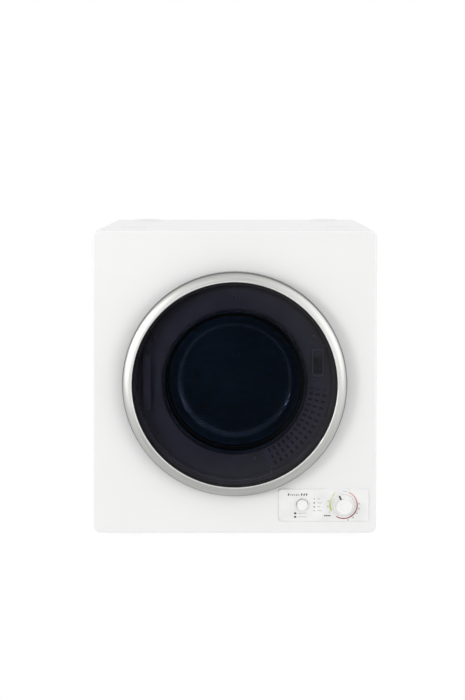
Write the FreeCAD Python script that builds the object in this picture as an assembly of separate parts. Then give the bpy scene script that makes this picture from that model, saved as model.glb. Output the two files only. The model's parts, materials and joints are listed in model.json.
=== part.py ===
import FreeCAD
import Part
import math
import os

# Compact vented clothes dryer, millimetres. +Z up, the door faces -Y, origin on the
# floor under the middle of the whole machine. Depths are measured back from the front
# panel's face and turned into Y by depth().

V = FreeCAD.Vector
Y_AXIS = V(0, 1, 0)
Z_AXIS = V(0, 0, 1)

# ---- cabinet ----
WIDTH = 595.0
HEIGHT = 650.0
FOOT_H = 14.0
CABINET_DEPTH = 490.0
FRONT_Y = -233.0            # front panel's outer face
SHEET = 1.5                 # sheet-metal thickness
PANEL_RETURN = 22.0         # depth of the front panel's folded edge
PANEL_CORNER = 16.0
BODY_HALF = 291.0           # half width of the cabinet behind the front panel
TOP_Z = 648.0
TOP_SKIRT = 16.0

# ---- door and drum axis ----
AXIS_X = 0.0
AXIS_Z = 332.0
RING_R = 233.0
GLASS_R = 212.5
RING_FRONT = -24.0
RING_BACK = -6.0
RING_WALL = 1.5
DOME_EDGE = -34.0
DOME_TOP = -48.0
GLASS_T = 3.0
BOWL_R = 136.0
BOWL_DEPTH = 52.0
OPENING_R = 205.0
MOUTH_R = 150.0
BEZEL_FACE = 8.0
BEZEL_T = 2.5

# ---- door hinge and latch ----
HINGE_X = -222.5
HINGE_DEPTH = -18.0
HINGE_PIN_R = 2.5
RUN_CLEAR = 0.05            # running clearance of a shaft in its hole
LUG_Z = 30.0                # hinge lugs, above and below the door's axis
LUG_T = 8.0
LATCH_X = 174.0
LATCH_Z = AXIS_Z + 40.0

# ---- drum ----
DRUM_R = 265.0
DRUM_FRONT = 42.0
DRUM_BACK = 408.0
LIFTER_H = 40.0
SHAFT_R = 12.5
SHAFT_END = 452.0

# ---- drive ----
MOTOR_X = 215.0
MOTOR_Z = 80.0
MOTOR_R = 44.0
PULLEY_R = 10.0
ROTOR_R = 6.0
BELT_FRONT = 306.0
BELT_BACK = 324.0
BELT_T = 2.0
BELT_GAP = 0.3
IDLER_R = 15.0
ARM_PIVOT = (264.0, 124.0)

# ---- blower and ducts ----
BLOWER_R = 55.0
BLOWER_FRONT = 95.0
BLOWER_BACK = 148.0
COLLAR_X = 114.0
COLLAR_Z = 76.0
COLLAR_R = 50.0
COLLAR_END = 514.0

# ---- control panel ----
FASCIA = (92.0, 280.0, 40.0, 108.0)
FASCIA_CORNER = 6.0
FASCIA_FRONT = -3.0
DIAL_X = 227.7
DIAL_Z = 74.8
BUTTON_X = 141.1
BUTTON_Z = 75.7
BUTTON_R = 11.4
KNOB_R = 22.0
GRIP_FRONT = -22.0
GRIP_BASE = -8.0
GRIP_FRONT_R = 17.5
GRIP_BASE_R = 13.0
POINTER_TURN = 25.0

# ---- top cover ----
DOME_X = 215.0
DOME_R = 41.0
DOME_H = 4.0
DOME_FROM_REAR = 46.0
SLOT_X = 223.0
SLOT_BACK = 141.0

# ---- fixings on the floor and the back ----
FOOT_X = 235.0
FOOT_DEPTHS = (84.0, 424.0)
FOOT_R = 19.0
BRACE_Z = 612.0
BOLT_X = 220.0
BOLT_HEIGHTS = (180.0, 580.0)
BOLT_R = 3.2
SERVICE = (-258.0, -162.0, 52.0, 148.0)
CORD_X = -210.0
CORD_Z = 78.0
GLAND_R = 9.0
GLAND_BORE_R = 5.5
BULKHEAD = 418.0            # depth of the wall behind the drum
DUCT_BACK = 470.0           # outer face of the heater duct


# ---------------------------------------------------------------- helpers
def depth(distance):
    """Y of a point that lies this far behind the front panel's face."""
    return FRONT_Y + distance


def box(x0, x1, d0, d1, z0, z1):
    return Part.makeBox(x1 - x0, d1 - d0, z1 - z0, V(x0, depth(d0), z0))


def rod(x, z, d0, d1, radius):
    """Cylinder that runs front to back."""
    return Part.makeCylinder(radius, d1 - d0, V(x, depth(d0), z), Y_AXIS)


def tube(x, z, d0, d1, outer, inner):
    return rod(x, z, d0, d1, outer).cut(rod(x, z, d0 - 1, d1 + 1, inner))


def post(x, d, z0, z1, radius):
    """Vertical cylinder."""
    return Part.makeCylinder(radius, z1 - z0, V(x, depth(d), z0), Z_AXIS)


def turned(points, x=AXIS_X, z=AXIS_Z):
    """Solid of revolution about a front-to-back axis, from (radius, depth) points."""
    corners = [V(x + radius, depth(d), z) for radius, d in points]
    face = Part.Face(Part.makePolygon(corners + [corners[0]]))
    return face.revolve(V(x, 0, z), Y_AXIS, 360)


def rounded(x0, x1, z0, z1, d0, d1, radius):
    """Plate with rounded corners, seen from the front."""
    block = box(x0, x1, d0, d1, z0, z1)
    edges = [e for e in block.Edges if abs(e.Vertexes[0].Y - e.Vertexes[1].Y) > 1e-6]
    return block.makeFillet(radius, edges)


def sector(r0, r1, d0, d1, a0, a1):
    """Part of a ring round the door's axis, between two angles in degrees."""
    ring = rod(AXIS_X, AXIS_Z, d0, d1, r1)
    reach = 3 * r1
    middle = math.radians((a0 + a1) / 2)
    corners = [V(AXIS_X, depth(d0), AXIS_Z)]
    for angle in (math.radians(a0), middle, math.radians(a1)):
        corners.append(V(AXIS_X + reach * math.cos(angle), depth(d0), AXIS_Z + reach * math.sin(angle)))
    wedge = Part.Face(Part.makePolygon(corners + [corners[0]])).extrude(V(0, d1 - d0, 0))
    return ring.common(wedge).cut(rod(AXIS_X, AXIS_Z, d0 - 1, d1 + 1, r0))


def on_axis(radius, angle):
    """(x, z) of a point round the door's axis."""
    turn = math.radians(angle)
    return AXIS_X + radius * math.cos(turn), AXIS_Z + radius * math.sin(turn)


def join(shapes):
    whole = shapes[0]
    for shape in shapes[1:]:
        whole = whole.fuse(shape)
    return whole.removeSplitter()


def cut_all(shape, cutters):
    for cutter in cutters:
        shape = shape.cut(cutter)
    return shape


def group(shapes):
    """Several separate solids that share one node."""
    return Part.makeCompound(shapes)


def save(node, shape):
    solids = shape.Solids
    whole = solids[0] if len(solids) == 1 else Part.makeCompound(solids)
    whole.exportStep("parts/" + node + ".step")
    print(node, len(solids), "solids", round(whole.Volume / 1000), "cm3", whole.isValid())


# ---------------------------------------------------------------- cabinet
def front_panel():
    """Pressed sheet front with folded edges, the door hole and the control window."""
    half = WIDTH / 2
    outer = rounded(-half, half, FOOT_H, HEIGHT, 0, PANEL_RETURN, PANEL_CORNER)
    inner = rounded(-half + SHEET, half - SHEET, FOOT_H + SHEET, HEIGHT - SHEET,
                    SHEET, PANEL_RETURN + 1, PANEL_CORNER - SHEET)
    x0, x1, z0, z1 = FASCIA
    window = box(x0 + 8, x1 - 8, -1, SHEET + 1, z0 + 8, z1 - 8)
    return cut_all(outer, [inner, rod(AXIS_X, AXIS_Z, -1, SHEET + 1, OPENING_R), window])


def side_panel(side):
    """Flat steel side with a folded front and rear lip."""
    outer_x = side * BODY_HALF
    inner_x = side * (BODY_HALF - SHEET)
    low, high = min(outer_x, inner_x), max(outer_x, inner_x)
    top = TOP_Z - TOP_SKIRT - 0.5
    lip_x = side * (BODY_HALF - 14)
    lip_low, lip_high = min(outer_x, lip_x), max(outer_x, lip_x)
    sheet = box(low, high, PANEL_RETURN + 0.2, CABINET_DEPTH - SHEET, FOOT_H + 2, top)
    front = box(lip_low, lip_high, PANEL_RETURN + 0.2, PANEL_RETURN + 0.2 + SHEET, FOOT_H + 2, top)
    rear_at = CABINET_DEPTH - 2 * SHEET
    rear = box(lip_low, lip_high, rear_at, rear_at + SHEET, FOOT_H + 2, top)
    return join([sheet, front, rear])


def top_cover():
    """Flat tray with a skirt, two raised rear pads with a screw hole, two front slots."""
    half = BODY_HALF + SHEET
    start = PANEL_RETURN - 16
    low = TOP_Z - TOP_SKIRT
    outer = box(-half, half, PANEL_RETURN + 0.3, CABINET_DEPTH + SHEET, low, TOP_Z)
    inner = box(-half + SHEET, half - SHEET, PANEL_RETURN - 1, CABINET_DEPTH, low - 1, TOP_Z - SHEET)
    lip = box(-half + 8, half - 8, start, PANEL_RETURN + 0.3, TOP_Z - SHEET - 1, TOP_Z - 1)
    cover = outer.cut(inner).fuse(lip)
    for side in (-1, 1):
        x = side * DOME_X
        d = CABINET_DEPTH - DOME_FROM_REAR
        pad = Part.makeCone(DOME_R, DOME_R - 7, DOME_H, V(x, depth(d), TOP_Z - 0.5), Z_AXIS)
        pocket = Part.makeCone(DOME_R - 4, DOME_R - 10, DOME_H - 1, V(x, depth(d), TOP_Z - 1.6), Z_AXIS)
        cover = cover.fuse(pad).cut(pocket).cut(post(x, d, TOP_Z - 5, TOP_Z + 8, 3.0))
        slot = box(side * SLOT_X - 27, side * SLOT_X + 27, SLOT_BACK - 4, SLOT_BACK + 4, TOP_Z - 5, TOP_Z + 1)
        cover = cover.cut(slot)
    return cover.removeSplitter()


def rear_panel():
    """Steel back with the exhaust hole, an air grille, a service opening, bolt holes."""
    half = BODY_HALF - 0.2
    back = CABINET_DEPTH - SHEET
    sheet = box(-half, half, back, CABINET_DEPTH, FOOT_H + 2, TOP_Z - SHEET - 0.3)
    cutters = [rod(COLLAR_X, COLLAR_Z, back - 1, CABINET_DEPTH + 1, COLLAR_R - SHEET)]
    for row in range(7):
        z = 470.0 + row * 14
        cutters.append(box(-150, 150, back - 1, CABINET_DEPTH + 1, z, z + 6))
    for x in (-BOLT_X, BOLT_X):
        for z in BOLT_HEIGHTS:
            cutters.append(rod(x, z, back - 1, CABINET_DEPTH + 1, BOLT_R))
    x0, x1, z0, z1 = SERVICE
    cutters.append(box(x0 + 8, x1 - 8, back - 1, CABINET_DEPTH + 1, z0 + 8, z1 - 8))
    return cut_all(sheet, cutters)


def base_pan():
    """Folded tray that carries the motor and the ducts."""
    half = BODY_HALF - SHEET - 0.3
    z = FOOT_H + 2
    d0, d1 = PANEL_RETURN + 2.2, CABINET_DEPTH - 2 * SHEET - 0.3
    outer = box(-half, half, d0, d1, z, z + 24)
    inner = box(-half + SHEET, half - SHEET, d0 + SHEET, d1 - SHEET, z + SHEET, z + 30)
    duct_gap = box(60, 168, d1 - 3, d1 + 1, z + SHEET, z + 30)
    pan = outer.cut(inner).cut(duct_gap)
    holes = [post(x, d, z - 1, z + 3, 4.2) for x, d in foot_places()]
    return cut_all(pan, holes)


def foot_places():
    return [(x, d) for x in (-FOOT_X, FOOT_X) for d in FOOT_DEPTHS]


def levelling_feet():
    """Four rubber-soled screw feet with a lock nut each."""
    feet = []
    for x, d in foot_places():
        pad = post(x, d, 0, 7, FOOT_R)
        pad = pad.makeFillet(1.5, [e for e in pad.Edges if e.BoundBox.ZMin > 6.9])
        nut = post(x, d, 7, FOOT_H + 2, 8)
        stem = post(x, d, FOOT_H, FOOT_H + 14, 4)
        feet.append(join([pad, nut, stem]))
    return group(feet)


def cross_braces():
    """Two folded rails that tie the side panels together under the top."""
    rails = []
    for d in (60, 440):
        half = BODY_HALF - SHEET - 0.2
        flat = box(-half, half, d, d + 30, BRACE_Z, BRACE_Z + SHEET)
        lip = box(-half, half, d, d + SHEET, BRACE_Z, BRACE_Z + 16)
        rails.append(join([flat, lip]))
    return group(rails)


# ---------------------------------------------------------------- front assembly
def front_bezel():
    """Moulded ring behind the panel: a flange, a recessed face and the drum mouth."""
    face = BEZEL_FACE
    shell = turned([
        (MOUTH_R - BEZEL_T, face + BEZEL_T), (MOUTH_R - BEZEL_T, 36), (MOUTH_R, 36),
        (MOUTH_R, face + BEZEL_T), (203, face + BEZEL_T), (203, 4.3), (238, 4.3),
        (238, 1.8), (200.5, 1.8), (200.5, face), (MOUTH_R - BEZEL_T + 1.5, face),
    ])
    duct_hole = sector(157, 195, face - 1, face + 4, -64, -5)
    hook_hole = box(LATCH_X - 11, LATCH_X + 11, face - 1, face + 5, LATCH_Z - 26, LATCH_Z + 26)
    return cut_all(shell, [duct_hole, hook_hole])


def drum_mouth_felt():
    """Felt ring that the drum's front lip rides on."""
    return tube(AXIS_X, AXIS_Z, 28, 36, 158, MOUTH_R)


def filter_cover():
    """Slotted cover over the lint filter, lower right of the mouth."""
    cover = sector(153, 199, BEZEL_FACE - 2.2, BEZEL_FACE, -68, -1)
    slots = []
    for r0, r1 in ((157, 167), (171, 181), (185, 195)):
        for step in range(15):
            middle = -63.5 + step * 4.2
            slots.append(sector(r0, r1, BEZEL_FACE - 4, BEZEL_FACE + 1, middle - 0.9, middle + 0.9))
    return cut_all(cover, slots)


def filter_screen():
    """Fine screen frame clipped behind the slotted cover."""
    frame = sector(154, 198, BEZEL_FACE + BEZEL_T + 0.1, BEZEL_FACE + BEZEL_T + 1.1, -66, -3)
    panes = []
    for step in range(4):
        start = -64 + step * 15.2
        panes.append(sector(158, 194, BEZEL_FACE, BEZEL_FACE + 5, start, start + 13.4))
    mesh = sector(157, 195, BEZEL_FACE + BEZEL_T + 0.4, BEZEL_FACE + BEZEL_T + 0.7, -65, -4)
    return join([cut_all(frame, panes), mesh])


def latch_housing():
    """Catch pocket behind the bezel, with its flange and fixing screw boss in front."""
    x0, x1 = LATCH_X - 10, LATCH_X + 10
    z0, z1 = LATCH_Z - 25, LATCH_Z + 25
    body = box(x0, x1, BEZEL_FACE, 32, z0, z1)
    flange = rounded(LATCH_X - 13.5, LATCH_X + 13.5, LATCH_Z - 30, LATCH_Z + 30,
                     BEZEL_FACE - 1.2, BEZEL_FACE, 4)
    pocket = box(x0 + 1.5, x1 - 1.5, BEZEL_FACE - 2, 30.5, z0 + 1.5, z1 - 12)
    return join([body, flange]).cut(pocket)


def latch_catch():
    """Spring catch inside the pocket that the hook snaps over."""
    return rounded(LATCH_X - 8, LATCH_X + 8, LATCH_Z - 23.4, LATCH_Z - 17, 18, 27, 2)


def door_switch():
    """Micro switch beside the catch pocket."""
    x0 = LATCH_X + 10.2
    body = rounded(x0, x0 + 10, LATCH_Z - 14, LATCH_Z + 14, 12, 30, 2)
    lever = box(x0 + 2, x0 + 8, 11, 12, LATCH_Z - 12, LATCH_Z + 12)
    return join([body, lever])


def hinge_bracket():
    """Steel plate on the panel with two lugs that carry the door's pin."""
    plate = box(HINGE_X - 6, HINGE_X + 4, -0.9, 0, AXIS_Z - 42, AXIS_Z + 42)
    lugs = []
    for side in (-1, 1):
        z = AXIS_Z + side * LUG_Z
        low, high = z - LUG_T / 2, z + LUG_T / 2
        arm = box(HINGE_X - 2.5, HINGE_X + 2.5, HINGE_DEPTH, 0, low, high)
        knuckle = post(HINGE_X, HINGE_DEPTH, low, high, 4)
        lugs.append(arm.fuse(knuckle))
    bore = post(HINGE_X, HINGE_DEPTH, AXIS_Z - 60, AXIS_Z + 60, HINGE_PIN_R + RUN_CLEAR)
    return join([plate] + lugs).cut(bore)


def front_screws():
    """Screws that hold the bezel, seen through the door glass."""
    screws = []
    places = [on_axis(165.5, -75), on_axis(172, -89.5), on_axis(193, 30.5), on_axis(193, 150),
              on_axis(193, 215), on_axis(178, 90)]
    for x, z in places:
        head = rod(x, z, BEZEL_FACE - 2, BEZEL_FACE, 3.6)
        cross = box(x - 2, x + 2, BEZEL_FACE - 3, BEZEL_FACE - 1, z - 0.5, z + 0.5)
        screws.append(head.cut(cross))
    return group(screws)


# ---------------------------------------------------------------- door
def hinge_notch():
    """Room that the two fixed lugs need inside the ring as the door swings."""
    gaps = []
    for side in (-1, 1):
        z = AXIS_Z + side * LUG_Z
        gaps.append(box(-240, HINGE_X + 6, -22.5, 2, z - LUG_T / 2 - 1.5, z + LUG_T / 2 + 1.5))
    return group(gaps)


def door_ring():
    """Satin metal-finish channel round the glass, open at the back."""
    outer = turned([
        (GLASS_R, -33.0), (GLASS_R + 1.5, -34.5), (GLASS_R + 4, -34.5), (227.5, -29.0),
        (RING_R, RING_FRONT), (RING_R, RING_BACK), (RING_R - RING_WALL, RING_BACK),
        (RING_R - RING_WALL, RING_FRONT + 0.8), (226.5, -27.0), (GLASS_R + RING_WALL + 0.5, -32.0),
        (GLASS_R + RING_WALL, RING_BACK), (GLASS_R, RING_BACK),
    ])
    return outer.cut(hinge_notch())


def door_window():
    """Domed smoked glass."""
    outer_r = GLASS_R - 0.05
    rise = DOME_EDGE - DOME_TOP
    sphere_r = (outer_r ** 2 + rise ** 2) / (2 * rise)
    centre = V(AXIS_X, depth(DOME_TOP + sphere_r), AXIS_Z)
    ball = Part.makeSphere(sphere_r, centre)
    inner = Part.makeSphere(sphere_r - GLASS_T, centre)
    slab = rod(AXIS_X, AXIS_Z, DOME_TOP - 1, DOME_EDGE + GLASS_T, outer_r)
    rim = tube(AXIS_X, AXIS_Z, DOME_EDGE + GLASS_T, DOME_EDGE + GLASS_T + 6, outer_r, outer_r - GLASS_T)
    return join([slab.common(ball).cut(inner), rim])


def door_bowl():
    """Clear bowl that closes the drum mouth, with a wide flange."""
    wall = 3.0
    flange = -3.5
    return turned([
        (0, BOWL_DEPTH), (112, BOWL_DEPTH), (128, BOWL_DEPTH - 8), (BOWL_R, BOWL_DEPTH - 22),
        (BOWL_R + 8, flange + wall + 3), (BOWL_R + 12, flange + wall), (211.5, flange + wall),
        (211.5, flange), (BOWL_R + 8, flange), (BOWL_R + 4, flange + 3),
        (BOWL_R - wall, BOWL_DEPTH - 23), (126, BOWL_DEPTH - 10), (111, BOWL_DEPTH - wall),
        (0, BOWL_DEPTH - wall),
    ])


def door_inner_frame():
    """Dark plastic carrier that joins the ring, the glass and the bowl."""
    frame = turned([(206, RING_BACK - 16), (212.3, RING_BACK - 16), (212.3, -4.0), (206, -4.0)])
    back = tube(AXIS_X, AXIS_Z, RING_BACK + 0.1, -4.0, 226, 212.2)
    grip = sector(213.8, 228, -8, 0, -8, 15)
    return join([frame, back]).cut(hinge_notch()).cut(grip)


def door_seal():
    """Rubber ring behind the bowl's flange that meets the drum mouth's edge."""
    low, high = MOUTH_R - BEZEL_T + 0.3, MOUTH_R + BEZEL_T
    tip = BEZEL_FACE - 0.3
    return turned([(low + 1, -0.5), (high, -0.5), (high, tip - 1.2), (high - 1.2, tip),
                   (low + 2, tip), (low, tip - 2)])


def hinge_strap():
    """Reinforcing strap on the door's frame, dimly seen at the left of the glass."""
    return rounded(-191, -175, AXIS_Z - 58, AXIS_Z + 58, -6.5, -3.5, 4)


def hinge_block():
    """Block inside the ring that grips the hinge pin between the lugs."""
    reach = LUG_Z - LUG_T / 2 - 0.6
    block = rounded(HINGE_X - 5, HINGE_X + 6, AXIS_Z - reach, AXIS_Z + reach, -22.2, -8, 2)
    return block.cut(post(HINGE_X, HINGE_DEPTH, AXIS_Z - 60, AXIS_Z + 60, HINGE_PIN_R))


def hinge_pin():
    return post(HINGE_X, HINGE_DEPTH, AXIS_Z - LUG_Z - 8, AXIS_Z + LUG_Z + 8, HINGE_PIN_R)


def latch_hook():
    """Hook on the door that enters the catch pocket."""
    z = LATCH_Z - 8
    stem = box(LATCH_X - 4, LATCH_X + 2, -0.5, 24, z, z + 8)
    nose = box(LATCH_X - 4, LATCH_X + 2, 18, 24, z - 6, z)
    root = rounded(LATCH_X - 8, LATCH_X + 6, z - 10, z + 18, -0.5, 2.5, 3)
    return join([root, stem, nose])


def door_screws():
    """Screws that join the bowl to the carrier."""
    screws = []
    for step in range(8):
        x, z = on_axis(202.5, 22.5 + step * 45)
        screws.append(rod(x, z, -5.0, -3.5, 2.8))
    return group(screws)


# ---------------------------------------------------------------- drum
def drum_shell():
    """Rolled steel cylinder with two stiffening beads."""
    profile = [(DRUM_R, DRUM_FRONT), (DRUM_R, DRUM_BACK), (DRUM_R - SHEET, DRUM_BACK),
               (DRUM_R - SHEET, DRUM_FRONT)]
    shell = turned(profile)
    for d in (150, 250, 370):
        shell = shell.fuse(turned([(DRUM_R - SHEET, d), (DRUM_R + 1.2, d + 1), (DRUM_R + 1.2, d + 5),
                                   (DRUM_R - SHEET, d + 6)]))
    return shell.removeSplitter()


def drum_front():
    """Dished front wall with the lip that rides on the felt ring."""
    return turned([
        (158.3, 29), (159.8, 29), (159.8, 39), (258, DRUM_FRONT), (DRUM_R - SHEET, DRUM_FRONT + 2),
        (DRUM_R - SHEET, DRUM_FRONT + 8), (DRUM_R - 2 * SHEET, DRUM_FRONT + 8),
        (DRUM_R - 2 * SHEET, DRUM_FRONT + 3.5), (257, DRUM_FRONT + 1.5), (158.3, 40.5),
    ])


def drum_rear():
    """Rear wall with rings of air holes."""
    wall = turned([(SHAFT_R, DRUM_BACK - 4), (DRUM_R - SHEET, DRUM_BACK - 4),
                   (DRUM_R - SHEET, DRUM_BACK - 4 + SHEET), (SHAFT_R, DRUM_BACK - 4 + SHEET)])
    holes = []
    for radius, count in ((110, 12), (150, 18), (190, 24)):
        for step in range(count):
            x, z = on_axis(radius, 360.0 * step / count)
            holes.append(rod(x, z, DRUM_BACK - 6, DRUM_BACK, 7))
    return cut_all(wall, holes)


def drum_lifter(angle):
    """Hollow-backed vane that lifts the load, turned to its place round the drum."""
    base = DRUM_R - SHEET - 0.6
    corners = [(-24, base - 1.6), (-9, base - LIFTER_H + 4), (0, base - LIFTER_H), (9, base - LIFTER_H + 4),
               (24, base - 1.6)]
    points = [V(AXIS_X + x, depth(70), AXIS_Z + z) for x, z in corners]
    vane = Part.Face(Part.makePolygon(points + [points[0]])).extrude(V(0, 310, 0))
    vane.rotate(V(AXIS_X, 0, AXIS_Z), Y_AXIS, 90 - angle)
    return vane


def drum_shaft():
    """Rear stub shaft with its three-armed spider."""
    shaft = rod(AXIS_X, AXIS_Z, DRUM_BACK - 4, SHAFT_END, SHAFT_R)
    arms = []
    for step in range(3):
        arm = box(AXIS_X - 9, AXIS_X + 9, DRUM_BACK - 4 + SHEET, DRUM_BACK + 1.5, AXIS_Z, AXIS_Z + 95)
        arm.rotate(V(AXIS_X, 0, AXIS_Z), Y_AXIS, 30 + 120 * step)
        arms.append(arm)
    return join([shaft] + arms)


# ---------------------------------------------------------------- rear assembly
def rear_bulkhead():
    """Wall behind the drum with the hot-air window and the shaft hole."""
    wall = rod(AXIS_X, AXIS_Z, BULKHEAD, BULKHEAD + SHEET, 272)
    rim = tube(AXIS_X, AXIS_Z, BULKHEAD - 7, BULKHEAD + SHEET, 273.5, 272)
    window = sector(105, 205, 410, 425, 20, 160)
    inlet = sector(105, 205, 410, 425, 200, 250)
    return cut_all(join([wall, rim]), [window, inlet, rod(AXIS_X, AXIS_Z, 410, 430, 32)])


def heater_housing():
    """Shallow steel duct over the window, open towards the drum."""
    outer = sector(100, 212, BULKHEAD + SHEET, DUCT_BACK, 17, 163)
    inner = sector(100 + SHEET, 212 - SHEET, BULKHEAD, DUCT_BACK - SHEET, 18.2, 161.8)
    vent = sector(120, 195, DUCT_BACK - 5, DUCT_BACK + 5, 70, 110)
    return outer.cut(inner).cut(vent)


def heater_coils():
    """Three open arcs of heating element."""
    coils = []
    for radius in (128, 156, 184):
        coil = Part.makeTorus(radius, 3.2, V(0, 0, 0), Z_AXIS, -180, 180, 120)
        coil.rotate(V(0, 0, 0), Z_AXIS, 30)
        coil.rotate(V(0, 0, 0), V(1, 0, 0), 90)
        coil.translate(V(AXIS_X, depth(444), AXIS_Z))
        coils.append(coil)
    return group(coils)


def thermostats():
    """Cut-out discs on the heater duct's face."""
    discs = []
    for angle in (45, 135):
        x, z = on_axis(156, angle)
        step = DUCT_BACK + 5
        discs.append(join([rod(x, z, DUCT_BACK, step, 12), rod(x, z, step, step + 6, 8)]))
    return group(discs)


def bearing_housing():
    """Cross arm and cup on the rear panel that carry the drum's bearing."""
    cup = tube(AXIS_X, AXIS_Z, 428, 448, 27, 20)
    ring = tube(AXIS_X, AXIS_Z, 448, 451, 27, 16)
    legs = []
    for angle in (225, 270, 315):
        leg = box(20, 92, 440, 451, -7, 7)
        foot = box(80, 92, 451, CABINET_DEPTH - SHEET, -7, 7)
        piece = leg.fuse(foot)
        piece.rotate(V(0, 0, 0), Y_AXIS, -angle)
        piece.translate(V(AXIS_X, 0, AXIS_Z))
        legs.append(piece)
    return join([cup, ring] + legs).cut(rod(AXIS_X, AXIS_Z, 426, 448, 20))


def rear_bearing():
    """Sintered sleeve round the drum's shaft."""
    return tube(AXIS_X, AXIS_Z, 428.5, 447.5, 20, SHAFT_R + RUN_CLEAR)


def service_cover():
    """Screwed plate over the rear service opening, with the hole for the mains lead's gland."""
    x0, x1, z0, z1 = SERVICE
    back = CABINET_DEPTH
    plate = rounded(x0, x1, z0, z1, back, back + SHEET, 6)
    hole = rod(CORD_X, CORD_Z, back - 2, back + 4, GLAND_R)
    return plate.cut(hole)


def cord_inlet():
    """Round gland in the service cover where the mains lead would enter."""
    back = CABINET_DEPTH
    bush = tube(CORD_X, CORD_Z, back - 6, back + 8, GLAND_R, GLAND_BORE_R)
    flange = tube(CORD_X, CORD_Z, back + SHEET, back + 4, GLAND_R + 4, GLAND_BORE_R)
    return join([bush, flange])


def rear_screws():
    screws = []
    back = CABINET_DEPTH
    places = [(x, z) for x in (-275, 275) for z in (60, 200, 340, 480, 610)]
    for x, z in places:
        screws.append(rod(x, z, back, back + 2, 4).cut(rod(x, z, back + 1, back + 3, 1.5)))
    x0, x1, z0, z1 = SERVICE
    for x in (x0 + 6, x1 - 6):
        for z in (z0 + 6, z1 - 6):
            screws.append(rod(x, z, back + SHEET, back + SHEET + 2, 3.5))
    return group(screws)


# ---------------------------------------------------------------- drive
def motor_body():
    """Ribbed stator can with two end bells, bored for the rotor."""
    can = rod(MOTOR_X, MOTOR_Z, 176, 276, MOTOR_R)
    bells = [Part.makeCone(MOTOR_R - 2, 24, 14, V(MOTOR_X, depth(276), MOTOR_Z), Y_AXIS),
             Part.makeCone(24, MOTOR_R - 2, 14, V(MOTOR_X, depth(162), MOTOR_Z), Y_AXIS)]
    ribs = []
    for step in range(5):
        d = 186 + step * 18
        ribs.append(rod(MOTOR_X, MOTOR_Z, d, d + 6, MOTOR_R + 1.5))
    bore = rod(MOTOR_X, MOTOR_Z, 150, 300, ROTOR_R + RUN_CLEAR)
    return join([can] + bells + ribs).cut(bore)


def motor_bracket():
    """Saddle under the motor and the upright plate behind the pulley."""
    floor = FOOT_H + 2 + SHEET
    foot = box(MOTOR_X - 48, MOTOR_X + 62, 190, 334, floor, floor + 3)
    cradle = box(MOTOR_X - 40, MOTOR_X + 40, 196, 204, floor, MOTOR_Z - 6)
    second = box(MOTOR_X - 40, MOTOR_X + 40, 250, 258, floor, MOTOR_Z - 6)
    seat = rod(MOTOR_X, MOTOR_Z, 180, 270, MOTOR_R + 1.5)
    upright = box(MOTOR_X - 20, MOTOR_X + 66, 339, 342, floor, 150)
    tie = box(MOTOR_X - 20, MOTOR_X + 62, 330, 342, floor, floor + 3)
    x, z = ARM_PIVOT
    pivot = rod(x, z, 326, 342, 5)
    return join([foot, cradle, second, upright, tie, pivot]).cut(seat)


def run_capacitor():
    """Motor's run capacitor in a strap on the base."""
    floor = FOOT_H + 2 + SHEET
    can = rod(-215, floor + 26, 200, 275, 20)
    clip = tube(-215, floor + 26, 230, 245, 22, 20)
    strap = box(-237, -193, 230, 245, floor, floor + 10).cut(rod(-215, floor + 26, 190, 280, 20.5))
    return join([can, clip, strap])


def rotor_shaft():
    return rod(MOTOR_X, MOTOR_Z, BLOWER_FRONT + 8, 328, ROTOR_R)


def motor_pulley():
    """Grooved pulley that the drum belt runs on."""
    groove = [(ROTOR_R, BELT_FRONT - 3), (PULLEY_R + 4, BELT_FRONT - 3), (PULLEY_R + 4, BELT_FRONT - 1),
              (PULLEY_R, BELT_FRONT - 1), (PULLEY_R, BELT_BACK + 1), (PULLEY_R + 4, BELT_BACK + 1),
              (PULLEY_R + 4, BELT_BACK + 3), (ROTOR_R, BELT_BACK + 3)]
    return turned(groove, MOTOR_X, MOTOR_Z)


def blower_wheel():
    """Squirrel-cage fan on the rotor's front end."""
    front, back = BLOWER_FRONT + 6, BLOWER_BACK - 8
    disc = tube(MOTOR_X, MOTOR_Z, back - 2, back, 44, ROTOR_R)
    hub = tube(MOTOR_X, MOTOR_Z, back - 20, back, 11, ROTOR_R)
    ring = tube(MOTOR_X, MOTOR_Z, front, front + 2.5, 44, 36)
    blades = []
    for step in range(20):
        blade = box(MOTOR_X + 36, MOTOR_X + 43.5, front, back, MOTOR_Z - 0.7, MOTOR_Z + 0.7)
        blade.rotate(V(MOTOR_X + 40, 0, MOTOR_Z), Y_AXIS, 30)
        blade.rotate(V(MOTOR_X, 0, MOTOR_Z), Y_AXIS, 18 * step)
        blades.append(blade)
    return join([disc, hub, ring] + blades)


def tangent_points(gap):
    """The four points where the belt's line, this far off the drum, leaves each wheel."""
    dx, dz = MOTOR_X - AXIS_X, MOTOR_Z - AXIS_Z
    heading = math.atan2(dz, dx)
    spread = math.acos((DRUM_R - PULLEY_R) / math.hypot(dx, dz))
    low, high = heading - spread, heading + spread
    points = []
    for angle in (low, high):
        side = V(math.cos(angle), 0, math.sin(angle))
        points.append(V(AXIS_X, 0, AXIS_Z) + side * (DRUM_R + gap))
        points.append(V(MOTOR_X, 0, MOTOR_Z) + side * (PULLEY_R + gap))
    return points, low, high


def belt_loop(gap):
    """Solid whose edge is the belt's path, this far off the drum and the pulley."""
    points, low, high = tangent_points(gap)
    flat = [V(p.x, depth(BELT_FRONT), p.z) for p in (points[0], points[1], points[3], points[2])]
    wedge = Part.Face(Part.makePolygon(flat + [flat[0]])).extrude(V(0, BELT_BACK - BELT_FRONT, 0))
    drum = rod(AXIS_X, AXIS_Z, BELT_FRONT, BELT_BACK, DRUM_R + gap)
    pulley = rod(MOTOR_X, MOTOR_Z, BELT_FRONT, BELT_BACK, PULLEY_R + gap)
    return join([drum, wedge, pulley])


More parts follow.
